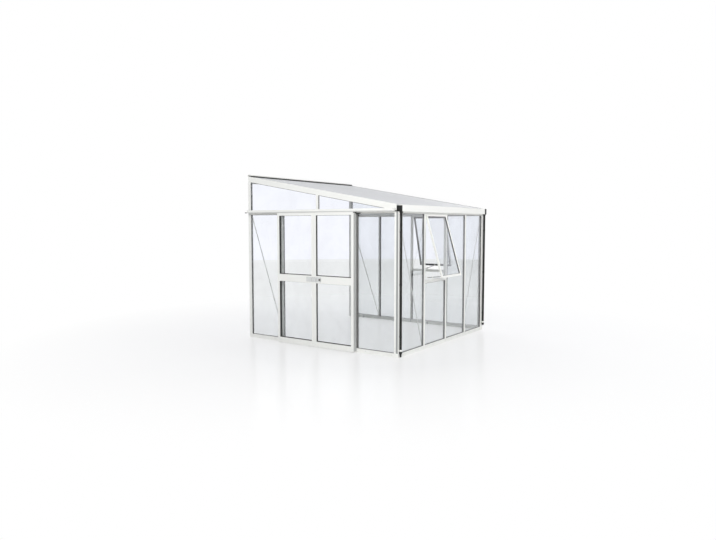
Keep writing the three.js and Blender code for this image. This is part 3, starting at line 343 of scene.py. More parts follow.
WHITE = finish_material("white powder coat", (0.90, 0.90, 0.865), 0.42, uneven=0.05, dust=0.08)
GLASS = glass_material("clear float glass", (0.866, 0.884, 0.892), 0.38)
OPAL = sheet_material("opal twin-wall sheet", (0.72, 0.73, 0.725), (0.58, 0.59, 0.59), 0.3)
BLACK = finish_material(
    "black moulded plastic", (0.012, 0.012, 0.011), 0.5,
    grain=(1400, 0.35), dust=0.05, Specular_IOR_Level=0.3,
)
RUBBER = finish_material("black glazing rubber", (0.028, 0.028, 0.027), 0.7, grain=(2200, 0.3), dust=0.08)
LIP_GREY = finish_material("dark grey glazing lip", (0.1, 0.1, 0.098), 0.65, grain=(2200, 0.3), dust=0.1)
# grey of the beads, standing in for the shade on the profiles' inner sides: painted shade
BEAD_AND_SHADE_GREY = finish_material("mid grey glazing bead and painted shade", (0.23, 0.23, 0.225), 0.65, grain=(2200, 0.3), dust=0.1)
PALE = finish_material("pale brush pile", (0.66, 0.66, 0.64), 0.85, grain=(3200, 0.8), dust=0.1)
EDGING = finish_material("light grey edge strip", (0.56, 0.565, 0.55), 0.7, grain=(3200, 0.5))
NYLON = finish_material("natural nylon", (0.72, 0.69, 0.6), 0.5, grain=(1800, 0.2))
STEEL = finish_material("galvanised steel", (0.55, 0.56, 0.56), 0.38, 1.0, grain=(260, 0.25), uneven=0.3)
SCREW = finish_material("stainless steel", (0.6, 0.6, 0.58), 0.3, 1.0, grain=(3000, 0.1))
DARK = finish_material(
    "burnished die-cast metal", (0.2, 0.19, 0.17), 0.34, 1.0, grain=(1200, 0.2), uneven=0.2,
)
# painted shade of the corner posts' seams
SEAM_SHADE_GREY = finish_material("grey strip of painted seam shade", (0.33, 0.335, 0.33), 0.75, grain=(3200, 0.5))
SATIN = finish_material("satin anodised aluminium", (0.76, 0.77, 0.75), 0.4, 0.6, grain=(1600, 0.15))

SLOT_MATERIALS = {
    "white_frame": WHITE,
    "clear_glass": GLASS,
    "opal_sheet": OPAL,
    "black_plastic": BLACK,
    "nylon": NYLON,
    "dark_metal": DARK,
    "bare_metal": STEEL,
}
for part in frame["record"]["subparts"]:
    node = frame["nodes"][part["node"]]
    node.data.materials.clear()
    node.data.materials.append(SLOT_MATERIALS[part["material_slot"]])


# Shapes. A shape is (points, faces), with its points in the world.


def joined(shapes):
    """Several shapes as one: points stacked, faces shifted by the points before them."""
    points, faces, count = [], [], 0
    for p, f in shapes:
        p = np.asarray(p).reshape(-1, 3)
        points.append(p)
        faces += [[i + count for i in face] for face in f]
        count += len(p)
    return np.concatenate(points), faces


def grid_faces(rows, columns, close_rows, close_columns):
    """Quads between neighbours of a grid of rows by columns points, closed round either way."""
    r = np.arange(rows if close_rows else rows - 1)
    c = np.arange(columns if close_columns else columns - 1)
    r, c = np.meshgrid(r, c, indexing="ij")
    rn, cn = (r + 1) % rows, (c + 1) % columns
    quads = np.stack([r * columns + c, rn * columns + c, rn * columns + cn, r * columns + cn], -1)
    return quads.reshape(-1, 4).tolist()


def tube_faces(rings, steps):
    """Quads between rings of as many points as steps, and a flat face on the first and the last."""
    last = (rings - 1) * steps
    caps = [list(range(steps - 1, -1, -1)), list(range(last, last + steps))]
    return grid_faces(rings, steps, False, True) + caps


# For a piece along u, v or z: which of its outline's two numbers (0, 1) and its height (2) is u, v and z
ACROSS = {"u": (2, 0, 1), "v": (0, 2, 1), "z": (0, 1, 2)}


def stacked(w, flat, heights, across):
    """World points of outlines in two of the wall's directions, each at its height in the third."""
    flat = np.asarray(flat, float)
    height = np.broadcast_to(np.array(heights, float)[:, None], flat.shape[:2])
    spots = np.stack([flat[..., 0], flat[..., 1], height])[list(ACROSS[across])]
    return at(w, *spots)


def run(w, section, start, end, across):
    """A section in two of the wall's directions carried along the third, with flat ends."""
    return stacked(w, [section, section], (start, end), across), tube_faces(2, len(section))


def directions(loop):
    """Unit vectors from each corner of a loop to the next."""
    ahead = np.roll(loop, -1, 0) - loop
    return ahead / np.linalg.norm(ahead, axis=1)[:, None]


def mitres(loop):
    """Where each corner of a counterclockwise loop goes when its edges move out by one: the sum of
    its two edges' outward directions over one plus their dot product."""
    ahead = directions(loop)
    out = np.stack([ahead[:, 1], -ahead[:, 0]], -1)
    before = np.roll(out, 1, 0)
    return (out + before) / (1 + (out * before).sum(1))[:, None]


def softened(outline, radius, steps=3):
    """An outline whose corners are curves, from one radius before the corner to one radius after it:
    (1-t)(1-t) start + 2t(1-t) corner + tt end."""
    corner = np.array(outline, float)
    ahead = directions(corner)
    start, end = corner - radius * np.roll(ahead, 1, 0), corner + radius * ahead
    t = (np.arange(steps + 1) / steps)[:, None]
    curves = (1 - t) ** 2 * start[:, None] + 2 * t * (1 - t) * corner[:, None] + t**2 * end[:, None]
    return curves.reshape(-1, 2)


def slab(w, outline, low, high, bevel, across="v"):
    """An outline in two of the wall's directions carried along the third from low to high, and drawn
    in by the bevel at both ends."""
    outline = np.array(outline, float)
    a, b = outline.T
    if (a * np.roll(b, -1) - b * np.roll(a, -1)).sum() < 0:
        outline = outline[::-1]
    drawn = np.array([bevel, 0, 0, bevel])[:, None, None]
    heights = (low, low + bevel, high - bevel, high)
    return stacked(w, outline - drawn * mitres(outline), heights, across), tube_faces(4, len(outline))


def block(w, u, v, z, bevel=1.2):
    """A block between two u, two v and two z, with every edge softened."""
    bevel = min(bevel, 0.3 * min(u[1] - u[0], v[1] - v[0], z[1] - z[0]))
    return slab(w, softened(rectangle(*u, *z), bevel), *v, bevel)


def strip(path, half):
    """Outline of a strip along a path: the path moved to either side by half its thickness, each
    point at right angles to the line between its neighbours."""
    path = np.array(path, float)
    ahead = np.gradient(path, axis=0)
    ahead /= np.linalg.norm(ahead, axis=1)[:, None]
    aside = half * np.stack([-ahead[:, 1], ahead[:, 0]], -1)
    return np.concatenate([path - aside, (path + aside)[::-1]])


def mitred_ring(w, corners, profile):
    """A profile of (outwards, v) points carried round a loop of (u, z) corners, along their mitres."""
    loop = np.array(corners, float)
    reach, v = np.array(profile, float).T
    spots = loop[:, None] + reach[None, :, None] * mitres(loop)[:, None]
    points = at(w, spots[..., 0], v[None, :], spots[..., 1])
    return points, grid_faces(len(loop), len(profile), True, True)


def rectangle(u0, u1, z0, z1):
    return [(u0, z0), (u1, z0), (u1, z1), (u0, z1)]


def span(middle, half):
    return middle - half, middle + half


def turned(centre, axis, profile, steps=24, hollow=False):
    """A profile of (radius, along) points spun about an axis through centre. Its ends are closed flat,
    or joined to each other where the profile runs round a hollow piece."""
    axis = np.array(axis, float) / np.linalg.norm(axis)
    helper = (0, 0, 1) if abs(axis[2]) < 0.9 else (1, 0, 0)
    side = np.cross(helper, axis)
    side /= np.linalg.norm(side)
    third = np.cross(axis, side)
    angle = np.arange(steps) * 2 * math.pi / steps
    radius, along = np.array(profile, float).T[..., None, None] * MM
    spoke = np.cos(angle)[:, None] * side + np.sin(angle)[:, None] * third
    points = np.array(centre) + radius * spoke + along * axis
    faces = grid_faces(len(profile), steps, True, True) if hollow else tube_faces(len(profile), steps)
    return points, faces


CORNER_STEPS = 6


def rounded_plate(w, middle, size, radius, front, back, bevel):
    """A plate with round corners and a bevelled front edge: one rounded outline, drawn in by the
    bevel at its front. The outline is a quarter circle at each corner."""
    turn = (np.arange(CORNER_STEPS + 1) / CORNER_STEPS + np.arange(4)[:, None]) * math.pi / 2
    spoke = np.stack([np.cos(turn), np.sin(turn)], -1)
    signs = np.array([(1, 1), (-1, 1), (-1, -1), (1, -1)])
    corner = np.array(middle) + signs * (np.array(size) / 2 - radius)
    step = bevel if back > front else -bevel
    flat = [(corner[:, None] + (radius - drawn) * spoke).reshape(-1, 2) for drawn in (0, 0, bevel)]
    return stacked(w, flat, (back, front + step, front), "v"), tube_faces(3, len(flat[0]))


def copies(shape, places, axes):
    """The same small shape at many places: its x, y and z follow the three given directions."""
    points, faces = shape
    points = np.asarray(points).reshape(-1, 3)
    placed = np.asarray(places)[:, None] + points @ np.array(axes)
    shift = np.arange(len(places)) * len(points)
    every = [[i + s for i in face] for s in shift for face in faces]
    return placed.reshape(-1, 3), every


SHARP_FROM = 38 * DEGREE


def mesh_object(name, points, faces, material):
    mesh = bpy.data.meshes.new(name)
    mesh.from_pydata(points.tolist(), [], faces)
    mesh.materials.append(material)
    return new_object(name, mesh)


def piece(name, shapes, material, body="house", smooth=False):
    """One named object from its shapes. Its faces are turned to point outwards."""
    made = mesh_object(name, *joined(shapes), material)
    turn_outwards(made.data)
    if smooth:
        made.data.shade_smooth()
        made.data.set_sharp_from_angle(angle=SHARP_FROM)
    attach(made, body)
    return made


def turn_outwards(mesh):
    work = bmesh.new()
    work.from_mesh(mesh)
    bmesh.ops.recalc_face_normals(work, faces=work.faces)
    work.to_mesh(mesh)
    work.free()


def rubber_piece(name, shapes, material=RUBBER, body="house"):
    piece(name, shapes, material, body)


def black_piece(name, shapes, body="house"):
    return piece(name, shapes, BLACK, body, smooth=True)


def screw_piece(name, heads, body="house"):
    piece(name, heads, SCREW, body, smooth=True)


SMALL_SCREW = {"radius": 3.6, "rise": 1.8}
SASH_SCREW = {"radius": 3.4, "rise": 1.8}
BRACE_BOLT = {"radius": 6, "rise": 4}
HEAD_STEPS = 12
HEAD_EDGE = 0.3  # share of a screw head's rise that is its upright edge


def screw_head(radius, rise):
    """A low domed head on the plane z = 0, pointing to +z."""
    bend = np.linspace(0, 0.92, 4) * math.pi / 2
    height = rise * (HEAD_EDGE + (1 - HEAD_EDGE) * np.sin(bend))
    return turned((0, 0, 0), UP, [(radius, 0), *zip(radius * np.cos(bend), height)], HEAD_STEPS)


def screws(w, spots, radius=4.5, rise=2.6, facing=-1):
    """Screw heads on a wall's surfaces, at (u, v, z) spots, facing out of the wall or into it."""
    places = np.array([at(w, *spot) for spot in spots])
    axes = (w.along, w.up, w.inward * facing)
    return copies(screw_head(radius, rise), places, axes)


def crossings(us, v, zs):
    """A spot at every crossing of the given u and z, on the plane v."""
    return [(u, v, z) for u in us for z in zs]


# Glazing rubber, as (outwards, v) profiles. The lip covers the edge of the glass outside, the bead
# wedges it inside; its grey reach deep along the box's side is painted shade of that side.
LIP_SHOWS = 4
LIP = [
    (1.5, SKIN + GAP), (1.5, GLASS_FRONT - GAP), (-LIP_SHOWS, GLASS_FRONT - GAP),
    (-LIP_SHOWS, GLASS_FRONT - 1.0), (-LIP_SHOWS / 2, GLASS_FRONT - 3.0),
    (-0.6, SKIN - 0.6), (-0.2, SKIN - 0.6), (-0.2, SKIN + GAP),
]
BEAD_WIDTH = 6
# how far the bead runs along the box's side: the grey beyond the real bead is painted shade of that side
BEAD_AND_SHADE_REACH = 30
BEAD_AND_SHADE = [
    (-0.2, GLASS_BACK + GAP), (-BEAD_WIDTH, GLASS_BACK + GAP), (-BEAD_WIDTH, GLASS_BACK + 1.6),
    (-2.6, GLASS_BACK + 5), (-2.2, GLASS_BACK + BEAD_AND_SHADE_REACH), (-0.2, GLASS_BACK + BEAD_AND_SHADE_REACH),
]

# How far each surround covers a pane's edge, outside (flange) and inside (box)
COVERS = {"mullion": (21.7, 9.7), "jamb": (27.7, 12.7), "post": (11.7, 11.7), "rail": (13.7, 13.7)}

# The panes of each wall, by the ends of their names, with what is on their left and on their right
FOUR_PANES = (
    ("_1", "post", "mullion"), ("_2", "mullion", "mullion"),
    ("_3", "mullion", "mullion"), ("_4", "mullion", "post"),
)
TWO_PANES = (("_rear", "post", "jamb"), ("_front", "jamb", "post"))
WALL_PANES = {
    "front": (FRONT, FOUR_PANES),
    "door_gable": (DOOR_GABLE, TWO_PANES),
    "vent_gable": (VENT_GABLE, FOUR_PANES),
}


def pane_extent(w, node):
    """A pane's lowest and highest (u, z) in its wall's frame."""
    corners = [(np.array(c) - w.origin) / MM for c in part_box(node)]
    u = sorted(float(c @ w.along) for c in corners)
    z = sorted(float(c @ w.up) for c in corners)
    return *u, *z


def glazing(w, name, panes):
    """Lips, and beads whose deep grey reach is painted shade, of a wall's panes."""
    lips, beads_and_shade = [], []
    for ending, left, right in panes:
        u0, u1, z0, z1 = pane_extent(w, name + "_pane" + ending)
        for side, profile, made in ((0, LIP, lips), (1, BEAD_AND_SHADE, beads_and_shade)):
            rail = COVERS["rail"][side]
            window = rectangle(u0 + COVERS[left][side], u1 - COVERS[right][side], z0 + rail, z1 - rail)
            made.append(mitred_ring(w, window, profile))
    return lips, beads_and_shade


RAFTER_HEIGHT = 90
WALL_POST_FACE = 60
TOP_WINDOW_START = 100  # from here on the rafter clears the transom
KING_STRIP_HALF = 24  # its outer strip
KING_BOX_HALF = 12  # its inner box


def from_eaves(w, s):
    """Where a point at the distance s from the eaves wall lies along a gable."""
    return DEPTH - s if w is DOOR_GABLE else s


def top_windows(w, half_bar):
    """Outlines of a top pane's two windows: transom below, rafter above, wall post behind and
    king bar between, as (u, z) corners that run the same way round as a rectangle's."""
    middle = DEPTH / 2
    windows = []
    for start, end in ((TOP_WINDOW_START, middle - half_bar), (middle + half_bar, DEPTH - WALL_POST_FACE)):
        tops = [ROOF_START + ROOF_SLOPE * s - RAFTER_HEIGHT for s in (start, end)]
        corners = [(start, TRANSOM_TOP), (end, TRANSOM_TOP), (end, tops[1]), (start, tops[0])]
        if w is DOOR_GABLE:
            corners.reverse()
        windows.append([(from_eaves(w, s), z) for s, z in corners])
    return windows


def make_glazing():
    for name, (w, panes) in WALL_PANES.items():
        lips, beads_and_shade = glazing(w, name, panes)
        if w is not FRONT:
            lips += [mitred_ring(w, corners, LIP) for corners in top_windows(w, KING_STRIP_HALF)]
            beads_and_shade += [mitred_ring(w, corners, BEAD_AND_SHADE) for corners in top_windows(w, KING_BOX_HALF)]
        rubber_piece(name + "_glazing_lips", lips, LIP_GREY)
        rubber_piece(name + "_glazing_beads_and_shade", beads_and_shade, BEAD_AND_SHADE_GREY)


make_glazing()


# Roof trims
PLATE_NOSE = 2922  # the wall plate's nose from the eaves wall's face
NOSE_BOTTOM = 2725
TRIMS_END = PLATE_NOSE - 16
ROOF_EDGE = SKIN + 0.3  # trims keep this far from the roof's sides
# (v, z) from the sheets' lower edge and upper face
EAVES_CLOSURE = [
    (-2, -SHEET - 1.2), (-2, 1.2), (16, 1.2), (16, 0.2),
    (-0.4, 0.2), (-0.4, -SHEET - 0.2), (14, -SHEET - 0.2), (14, -SHEET - 1.2),
]
JOINT_STRIP = [(-13, GAP), (13, GAP), (11, 1.6), (-11, 1.6)]
SIDE_SEAL = [(-0.2, GAP), (-7, GAP), (-6, 1.2), (-2, 2.6), (-0.2, 3.0)]


def roof_top(s):
    """Height of a sheet's upper face at the distance s from the eaves wall's face."""
    return SHEET_TOP + ROOF_SLOPE * s


def make_roof_trims():
    nose, low = PLATE_NOSE, NOSE_BOTTOM
    back, front = nose - 26, nose + 9
    seal = [
        (back, roof_top(back) + 0.3), (front, roof_top(front) + 0.3), (front, low + 10),
        (nose + 3.4, low + 10), (nose + 3.4, low - 0.4), (nose - 0.3, low - 0.4), (nose - 0.3, low + 6),
        (nose - 3, low + 5), (nose - 4, low - 6), (back, roof_top(back) + 2),
    ]
    rubber_piece("ridge_seal", [run(FRONT, seal, ROOF_EDGE, WIDTH - ROOF_EDGE, "u")])
    closure = [(SHEET_FRONT + v, z) for v, z in EAVES_CLOSURE]
    inner = WIDTH / 2 - ROOF_EDGE
    closures = [run(SHEETS, closure, side * 2, side * inner, "u") for side in (-1, 1)]
    piece("eaves_closures", closures, WHITE)
    piece("roof_joint_strip", [run(SHEETS, JOINT_STRIP, SHEET_FRONT, TRIMS_END, "v")], OPAL)
    seals = []
    for side in (-1, 1):
        section = [(side * (inner + x), z) for x, z in SIDE_SEAL]
        seals.append(run(SHEETS, section, FRAME_DEPTH + 2, TRIMS_END, "v"))
    rubber_piece("roof_side_seals", seals)


make_roof_trims()


# Doors
LEAF_WIDTH = 750
LEAF_BOTTOM = 12
LEAF_TOP = 2098
STILE = 45
MID_LOW = 1008
MID_HIGH = 1122
BOTTOM_RAIL_TOP = 96
TOP_RAIL_FOOT = 2054
HANDLE_MIDDLE = 1065
HANDLE_SIZE = (136, 72)
HANDLE_INSET = 9
HANDLE_FACE = DOOR_FACE - 4
PLATE_RISE = 1.6
PLATE_SCREWS = (58, 26)  # from the handle plate's middle
GRIP_INSET = 36.5
GRIP_SIZE = (9, 56)
GRIP_RISE = 18
LEAF_SCREW_INSET = 22
LEAF_SCREW_HEIGHTS = (LEAF_BOTTOM + 42, LEAF_TOP - 22, MID_LOW + 20, MID_HIGH - 20)
EDGE_STRIP = ((DOOR_FACE + 3, -17), (20, LEAF_TOP - 20))
KNOB_INSET = 122
HALF_GAP = 1.5
JAMB_HALF = 30
JAMB_BOX_HALF = 15
# Each leaf's closing edge, and which way the leaf lies from it
DOORS = {"left": (DEPTH / 2 - HALF_GAP, -1), "right": (DEPTH / 2 + HALF_GAP, 1)}

TOP_HIDES = 7  # so much of the channel's top run lies up inside the rail
# the channel runs 11 mm over the glass, partly as painted shade: it stands in for the shadow gap between
# stile and jamb seen through the glass
CHANNEL = [
    (-0.2, DOOR_FACE + 2.4), (-0.2, LEG_BACK + GAP), (-11, LEG_BACK + GAP),
    (-11, LEG_BACK - 1.2), (-2.6, LEG_BACK - 3.4), (-2.0, DOOR_FACE + 2.4),
]
ROUND = 48  # steps round a large turned piece


def stretch(edge, away, near, far):
    """From near to far, measured from an edge in the given direction (1 or -1), lowest first."""
    return sorted((edge + away * near, edge + away * far))


def make_door_trims(side):
    edge, away = DOORS[side]
    outer = edge + away * LEAF_WIDTH
    body = side + "_door"
    face = HANDLE_FACE
    glass = stretch(edge, away, STILE, LEAF_WIDTH - STILE)
    rings = []
    for low, high in ((BOTTOM_RAIL_TOP, MID_LOW), (MID_HIGH, TOP_RAIL_FOOT)):
        rings.append(mitred_ring(DOOR_GABLE, rectangle(*glass, low, high + TOP_HIDES), CHANNEL))
    rubber_piece(body + "_glazing_rubber_and_shade", rings, body=body)
    middle = edge + away * (HANDLE_INSET + HANDLE_SIZE[0]) / 2
    plate_size = (HANDLE_SIZE[0] + HANDLE_INSET + 1, HANDLE_SIZE[1] + 2)
    plate = rounded_plate(
        DOOR_GABLE, (middle, HANDLE_MIDDLE), plate_size,
        radius=9, front=face - PLATE_RISE, back=face - GAP, bevel=1,
    )
    grip = rounded_plate(
        DOOR_GABLE, (edge + away * GRIP_INSET, HANDLE_MIDDLE), GRIP_SIZE,
        radius=4, front=face - GRIP_RISE, back=face - PLATE_RISE + GAP, bevel=2,
    )
    piece(side + "_handle_plate", [plate, grip], SATIN, body, smooth=True)
    across, up = PLATE_SCREWS
    spots = crossings(span(middle, across), face - PLATE_RISE, span(HANDLE_MIDDLE, up))
    sides = stretch(edge, away, LEAF_SCREW_INSET, LEAF_WIDTH - LEAF_SCREW_INSET)
    spots += crossings(sides, DOOR_FACE, LEAF_SCREW_HEIGHTS)
    edging = block(DOOR_GABLE, stretch(outer, away, GAP, 1.6), *EDGE_STRIP)
    piece(body + "_edge_strip", [edging], EDGING, body)
    screw_piece(body + "_screws", [screws(DOOR_GABLE, spots, **SMALL_SCREW)], body)


for side in DOORS:
    make_door_trims(side)


MEETING_SEAL = [(GAP, 4), (2.4, 6), (2.4, 16), (GAP, 18)]  # from the leaf's edge and face


def make_meeting_seal():
    """Rubber strip on the left leaf's closing edge that fills the gap to the right leaf."""
    edge = DOORS["left"][0]
    section = [(edge + u, DOOR_FACE + v) for u, v in MEETING_SEAL]
    seal = run(DOOR_GABLE, section, LEAF_BOTTOM + 4, LEAF_TOP - 4, "z")
    rubber_piece("door_meeting_seal", [seal], body="left_door")


make_meeting_seal()


# (radius, distance out of the handle plate) of the knob with its spindle, and of its rose
KNOB = [
    (4, -26), (4, -0.2), (10, 0.4), (10, 2.4), (8.2, 3.6), (8.6, 7),
    (14.4, 9.4), (15.6, 11), (15.6, 17.6), (14.8, 19.4), (11.4, 20), (10.6, 19.2),
]
ROSE = [(17, 1.4), (17, 2.6), (15.8, 3.2), (8, 3.2)]
KNOB_BAR_HALF = (2, 13.6)
KNOB_BAR_RISE = (-24, -18.6)  # its front and back from the handle plate
CAM_SIZE = (12, 36)
CAM_DROP = 12  # its middle under the knob's


def make_lock():
    """Knob with a waist, a bar across its face and its cam, in place of the plain one, and its rose."""
    u = DOORS["right"][0] + KNOB_INSET
    centre = at(DOOR_GABLE, u, HANDLE_FACE, HANDLE_MIDDLE)
    out = -DOOR_GABLE.inward
    knob = turned(centre, out, KNOB, ROUND)
    width, height = KNOB_BAR_HALF
    rise = [HANDLE_FACE + r for r in KNOB_BAR_RISE]
    bar = block(DOOR_GABLE, span(u, width), rise, span(HANDLE_MIDDLE, height))
    cam_middle = (u, HANDLE_MIDDLE - CAM_DROP)
    cam = rounded_plate(DOOR_GABLE, cam_middle, CAM_SIZE, radius=5.6, front=-82, back=-78, bevel=0.8)
    made = piece("lock_knob_turned", [knob, bar, cam], DARK, "lock", smooth=True)
    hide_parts("lock_knob")
    rose = turned(centre, out, ROSE, ROUND)
    piece("lock_rose", [rose], SATIN, "right_door", smooth=True)


make_lock()


# Track: end caps and stops, the stop on top of the right leaf's outer edge, screws and the brush under
# the cover. Doorway: seals with partly painted shade, and closing strips on the jambs, guides at the doors'
# feet.
TRACK_INSET = 56
TRACK_ENDS = (TRACK_INSET, DEPTH - TRACK_INSET)
TRACK_CAP = [(-96.5, 2107), (-5, 2107), (-5, 2086), (-0.4, 2086), (-0.4, 2148), (-96.5, 2148)]
STOP_ARCH = [
    (-88, 2088), (-87, 2094), (-80, 2097), (-66, 2097.5),
    (-52, 2095.5), (-38, 2090), (-26, 2082), (-18, 2076),
]
STOP_BLOCKS = (  # its arm and its post; u is from the leaf's outer edge
    ((-3, 72), (-22, -12), (2068, 2082)),
    ((42, 48), (-20, -14), (2045, 2076)),
)
BUMPER = [(8, 0), (10.4, 1.4), (11, 3), (11, 9), (10.4, 10.6), (8, 12)]
BUMPER_INSET = 45
END_STOPS = (
    ((6, TRACK_INSET), (-92, -68), (2101, 2114)),
    ((TRACK_ENDS[1] + 6, TRACK_ENDS[1] + 27), (-40, -GAP), (2100, 2115)),
)
TRACK_SCREW = (-3.3, 2097)  # v and height
TRACK_SCREW_INSET = 90
BRUSH = ((-95, -92.4), (2100.5, 2116))
DOORWAY = (SILL_HEIGHT + 2, HEAD_BOTTOM - 2)  # heights of its trims
FOOT_GUIDE_HALF = 11
FOOT_GUIDE = (((-84, -0.5), (1, 4)), ((-5, -0.5), (4, 34)))
FOOT_GUIDE_PLACES = (DOORS["left"][0] - 120, DOORS["right"][0] + 120, GABLE_BAY + 30, DEPTH - GABLE_BAY - 30)


def make_track_ends():
    outline = softened(TRACK_CAP, 1.5)
    sides = zip(TRACK_ENDS, (-1, 1))
    caps = [slab(DOOR_GABLE, outline, *stretch(u, away, 0, 3), 0.8, "u") for u, away in sides]
    piece("track_end_caps", caps, WHITE)
    stops = [block(DOOR_GABLE, *stop, 3) for stop in END_STOPS]
    black_piece("track_end_stops", stops)


def make_door_stop():
    """An arch over the right leaf's top edge, with an arm, a post and a round bumper."""
    outer = DOORS["right"][0] + LEAF_WIDTH
    stop = [slab(DOOR_GABLE, strip(STOP_ARCH, 6.4), outer - 6, outer + 4, 1, "u")]
    stop += [block(DOOR_GABLE, stretch(outer, 1, *u), v, z) for u, v, z in STOP_BLOCKS]
    bumper = at(DOOR_GABLE, outer + BUMPER_INSET, -11, 2045)
    stop.append(turned(bumper, -DOOR_GABLE.inward, BUMPER))
    black_piece("right_door_stop", stop, "right_door")


def make_track_fittings():
    along = np.linspace(TRACK_SCREW_INSET, DEPTH - TRACK_SCREW_INSET, 9)
    screw_piece("track_screws", [screws(DOOR_GABLE, [(u, *TRACK_SCREW) for u in along])])
    first, last = TRACK_ENDS
    brush = block(DOOR_GABLE, (first + 1, last - 1), *BRUSH, 0.6)
    piece("track_brush", [brush], PALE)


def make_doorway_trims():
    """Seals and closing strips on the two jambs, measured towards the doorway's middle. The dark seals over
    each jamb's reveal and outer edge are partly painted shade.
    """
    seals, closings = [], []
    for side, jamb in (("left", GABLE_BAY), ("right", DEPTH - GABLE_BAY)):
        edge, away = DOORS[side]
        leaf_end = edge + away * LEAF_WIDTH
        reveal = jamb - away * JAMB_BOX_HALF
        face = jamb - away * JAMB_HALF
        # the strip over the reveal and the strip over the jamb's outer edge are partly painted shade
        spans = [
            (stretch(reveal, -away, GAP, 3), (12, FRAME_DEPTH - 1)),
            (stretch(face, -away, 19, 22), (-3, 20)),
            (sorted((jamb + away * (JAMB_HALF - 1), leaf_end - away * 6)), (-1.6, -GAP)),
            (stretch(leaf_end, -away, -3, 1), (-12, -1)),
        ]
        seals += [block(DOOR_GABLE, u, v, DOORWAY) for u, v in spans]
        closings.append(block(DOOR_GABLE, stretch(face, -away, -16, 19), (-3, -GAP), DOORWAY))
    rubber_piece("doorway_seals_and_shade", seals, LIP_GREY)
    piece("doorway_closing_strips", closings, WHITE)


def make_foot_guides():
    guides = []
    for u in FOOT_GUIDE_PLACES:
        guides += [block(DOOR_GABLE, span(u, FOOT_GUIDE_HALF), v, z) for v, z in FOOT_GUIDE]
    piece("door_foot_guides", guides, WHITE)


make_track_ends()
make_door_stop()
make_track_fittings()
make_doorway_trims()
make_foot_guides()


# Vents, in the frame of the open sash, whose origin is its hinge
SASH_TOP = -16
SASH_FOOT = -1018
SASH_FACE = 34
SASH_EDGE = 28  # from the mullion's middle to the sash
SASH_DEPTH = 26
SASH_FRONT = -HINGE_INSET
SASH_BACK = SASH_FRONT + SASH_DEPTH
PIN_V = 15
PIN_HEIGHT = SASH_FOOT + 20
PIN_CAP = [(6, 0), (6, 2.4), (4.6, 3.6), (1, 3.9)]
PULL_SIZE = (64, 14)
PIN_HALF = 6.4
STAY_LENGTH = 395
STAY_SLEEVE = ((-4.5, 4.5), (STAY_LENGTH - 15, STAY_LENGTH + 2), (-9.5, 9.5))
GASKET_INSET = 9  # from the sash's edge
STAY_GAP = 12  # half of the gap that the back gasket leaves for the stay
GUIDE_INSET = 55  # the slot in the stay's guide, in the wall's frame
GUIDE_SLOT = 1084
# Wall, middle of the bay along it and half of the bay
VENTS = {
    "front": (FRONT, (END_BAY + WIDTH / 2) / 2, (WIDTH / 2 - END_BAY) / 2),
    "gable": (VENT_GABLE, 1.5 * GABLE_BAY, GABLE_BAY / 2),
}


def make_vent_trims(name):
    w, middle, half_bay = VENTS[name]
    body = name + "_vent"
    swung = hinged(w, middle)
    half = half_bay - SASH_EDGE - SASH_FACE
    window = rectangle(-half, half, SASH_FOOT + SASH_FACE, SASH_TOP - SASH_FACE)
    lip = [(reach, v + SASH_FRONT) for reach, v in LIP]
    # the bead runs deep along the sash's inner side: partly painted shade of that side
    bead_and_shade = [(min(reach, -0.2) - GAP, min(v, SASH_DEPTH) + SASH_FRONT) for reach, v in BEAD_AND_SHADE]
    rings = [mitred_ring(swung, window, profile) for profile in (lip, bead_and_shade)]
    rubber_piece(body + "_rubber", rings, body=body)
    inner, outer = half + 1, half + SASH_FACE - GASKET_INSET
    low, high = SASH_FOOT + GASKET_INSET, SASH_TOP - GASKET_INSET
    inset = outer - inner
    runs = (
        ((-outer, -inner), (low, high)),
        ((inner, outer), (low, high)),
        ((-inner, inner), (high - inset, high)),
        ((-inner, -STAY_GAP), (low, low + inset)),
        ((STAY_GAP, inner), (low, low + inset)),
    )
    gasket = [block(swung, u, (SASH_BACK + GAP, SASH_BACK + 1.9), z) for u, z in runs]
    rubber_piece(body + "_back_gasket", gasket, LIP_GREY, body)
    caps = []
    for sign in (-1, 1):
        caps.append(turned(at(swung, sign * PIN_HALF, PIN_V, PIN_HEIGHT), sign * swung.along, PIN_CAP))
    black_piece(body + "_pin_caps", caps, body)
    pull = rounded_plate(
        swung, (0.3 * half, SASH_FOOT + SASH_FACE / 2), PULL_SIZE,
        radius=5, front=SASH_BACK + 15, back=SASH_BACK + 1.8, bevel=3,
    )
    black_piece(body + "_pull", [pull], body)
    pin = at(swung, 0, PIN_V, PIN_HEIGHT)
    slot = at(w, middle, GUIDE_INSET, GUIDE_SLOT)
    inwards = (slot - pin) / np.linalg.norm(slot - pin)
    stay = Wall(pin, w.along, inwards, np.cross(w.along, inwards))
    sleeve = block(stay, *STAY_SLEEVE, 2.5)
    piece(name + "_stay_sleeve", [sleeve], NYLON, name + "_stay", smooth=True)
    heights = (SASH_TOP - SASH_FACE / 2, SASH_FOOT + SASH_FACE / 2)
    spots = crossings(span(0, half + SASH_FACE / 2), SASH_FRONT, heights)
    screw_piece(body + "_screws", [screws(swung, spots, **SASH_SCREW)], body)


for vent in VENTS:
    make_vent_trims(vent)


# Downpipes: smooth tube, clips, shoe, hopper and gutter end cap in place of the plain ones, and a collar
PIPE_INSET = 20
PIPE_OUT = -22
CHANNEL_TOP = 2184
CAP_THICKNESS = 4
CAP_BLOCKS = (((-50, -0.4), (2094.7, CHANNEL_TOP)), ((-1, FRAME_DEPTH - 0.2), (2098, CHANNEL_TOP)))
HOPPER_HEIGHT = 2088.7
HOPPER_SIZE = (38, 18)
CLIP_HEIGHTS = (300, 1050, 1800)
CLIP = 14
BORE = 15
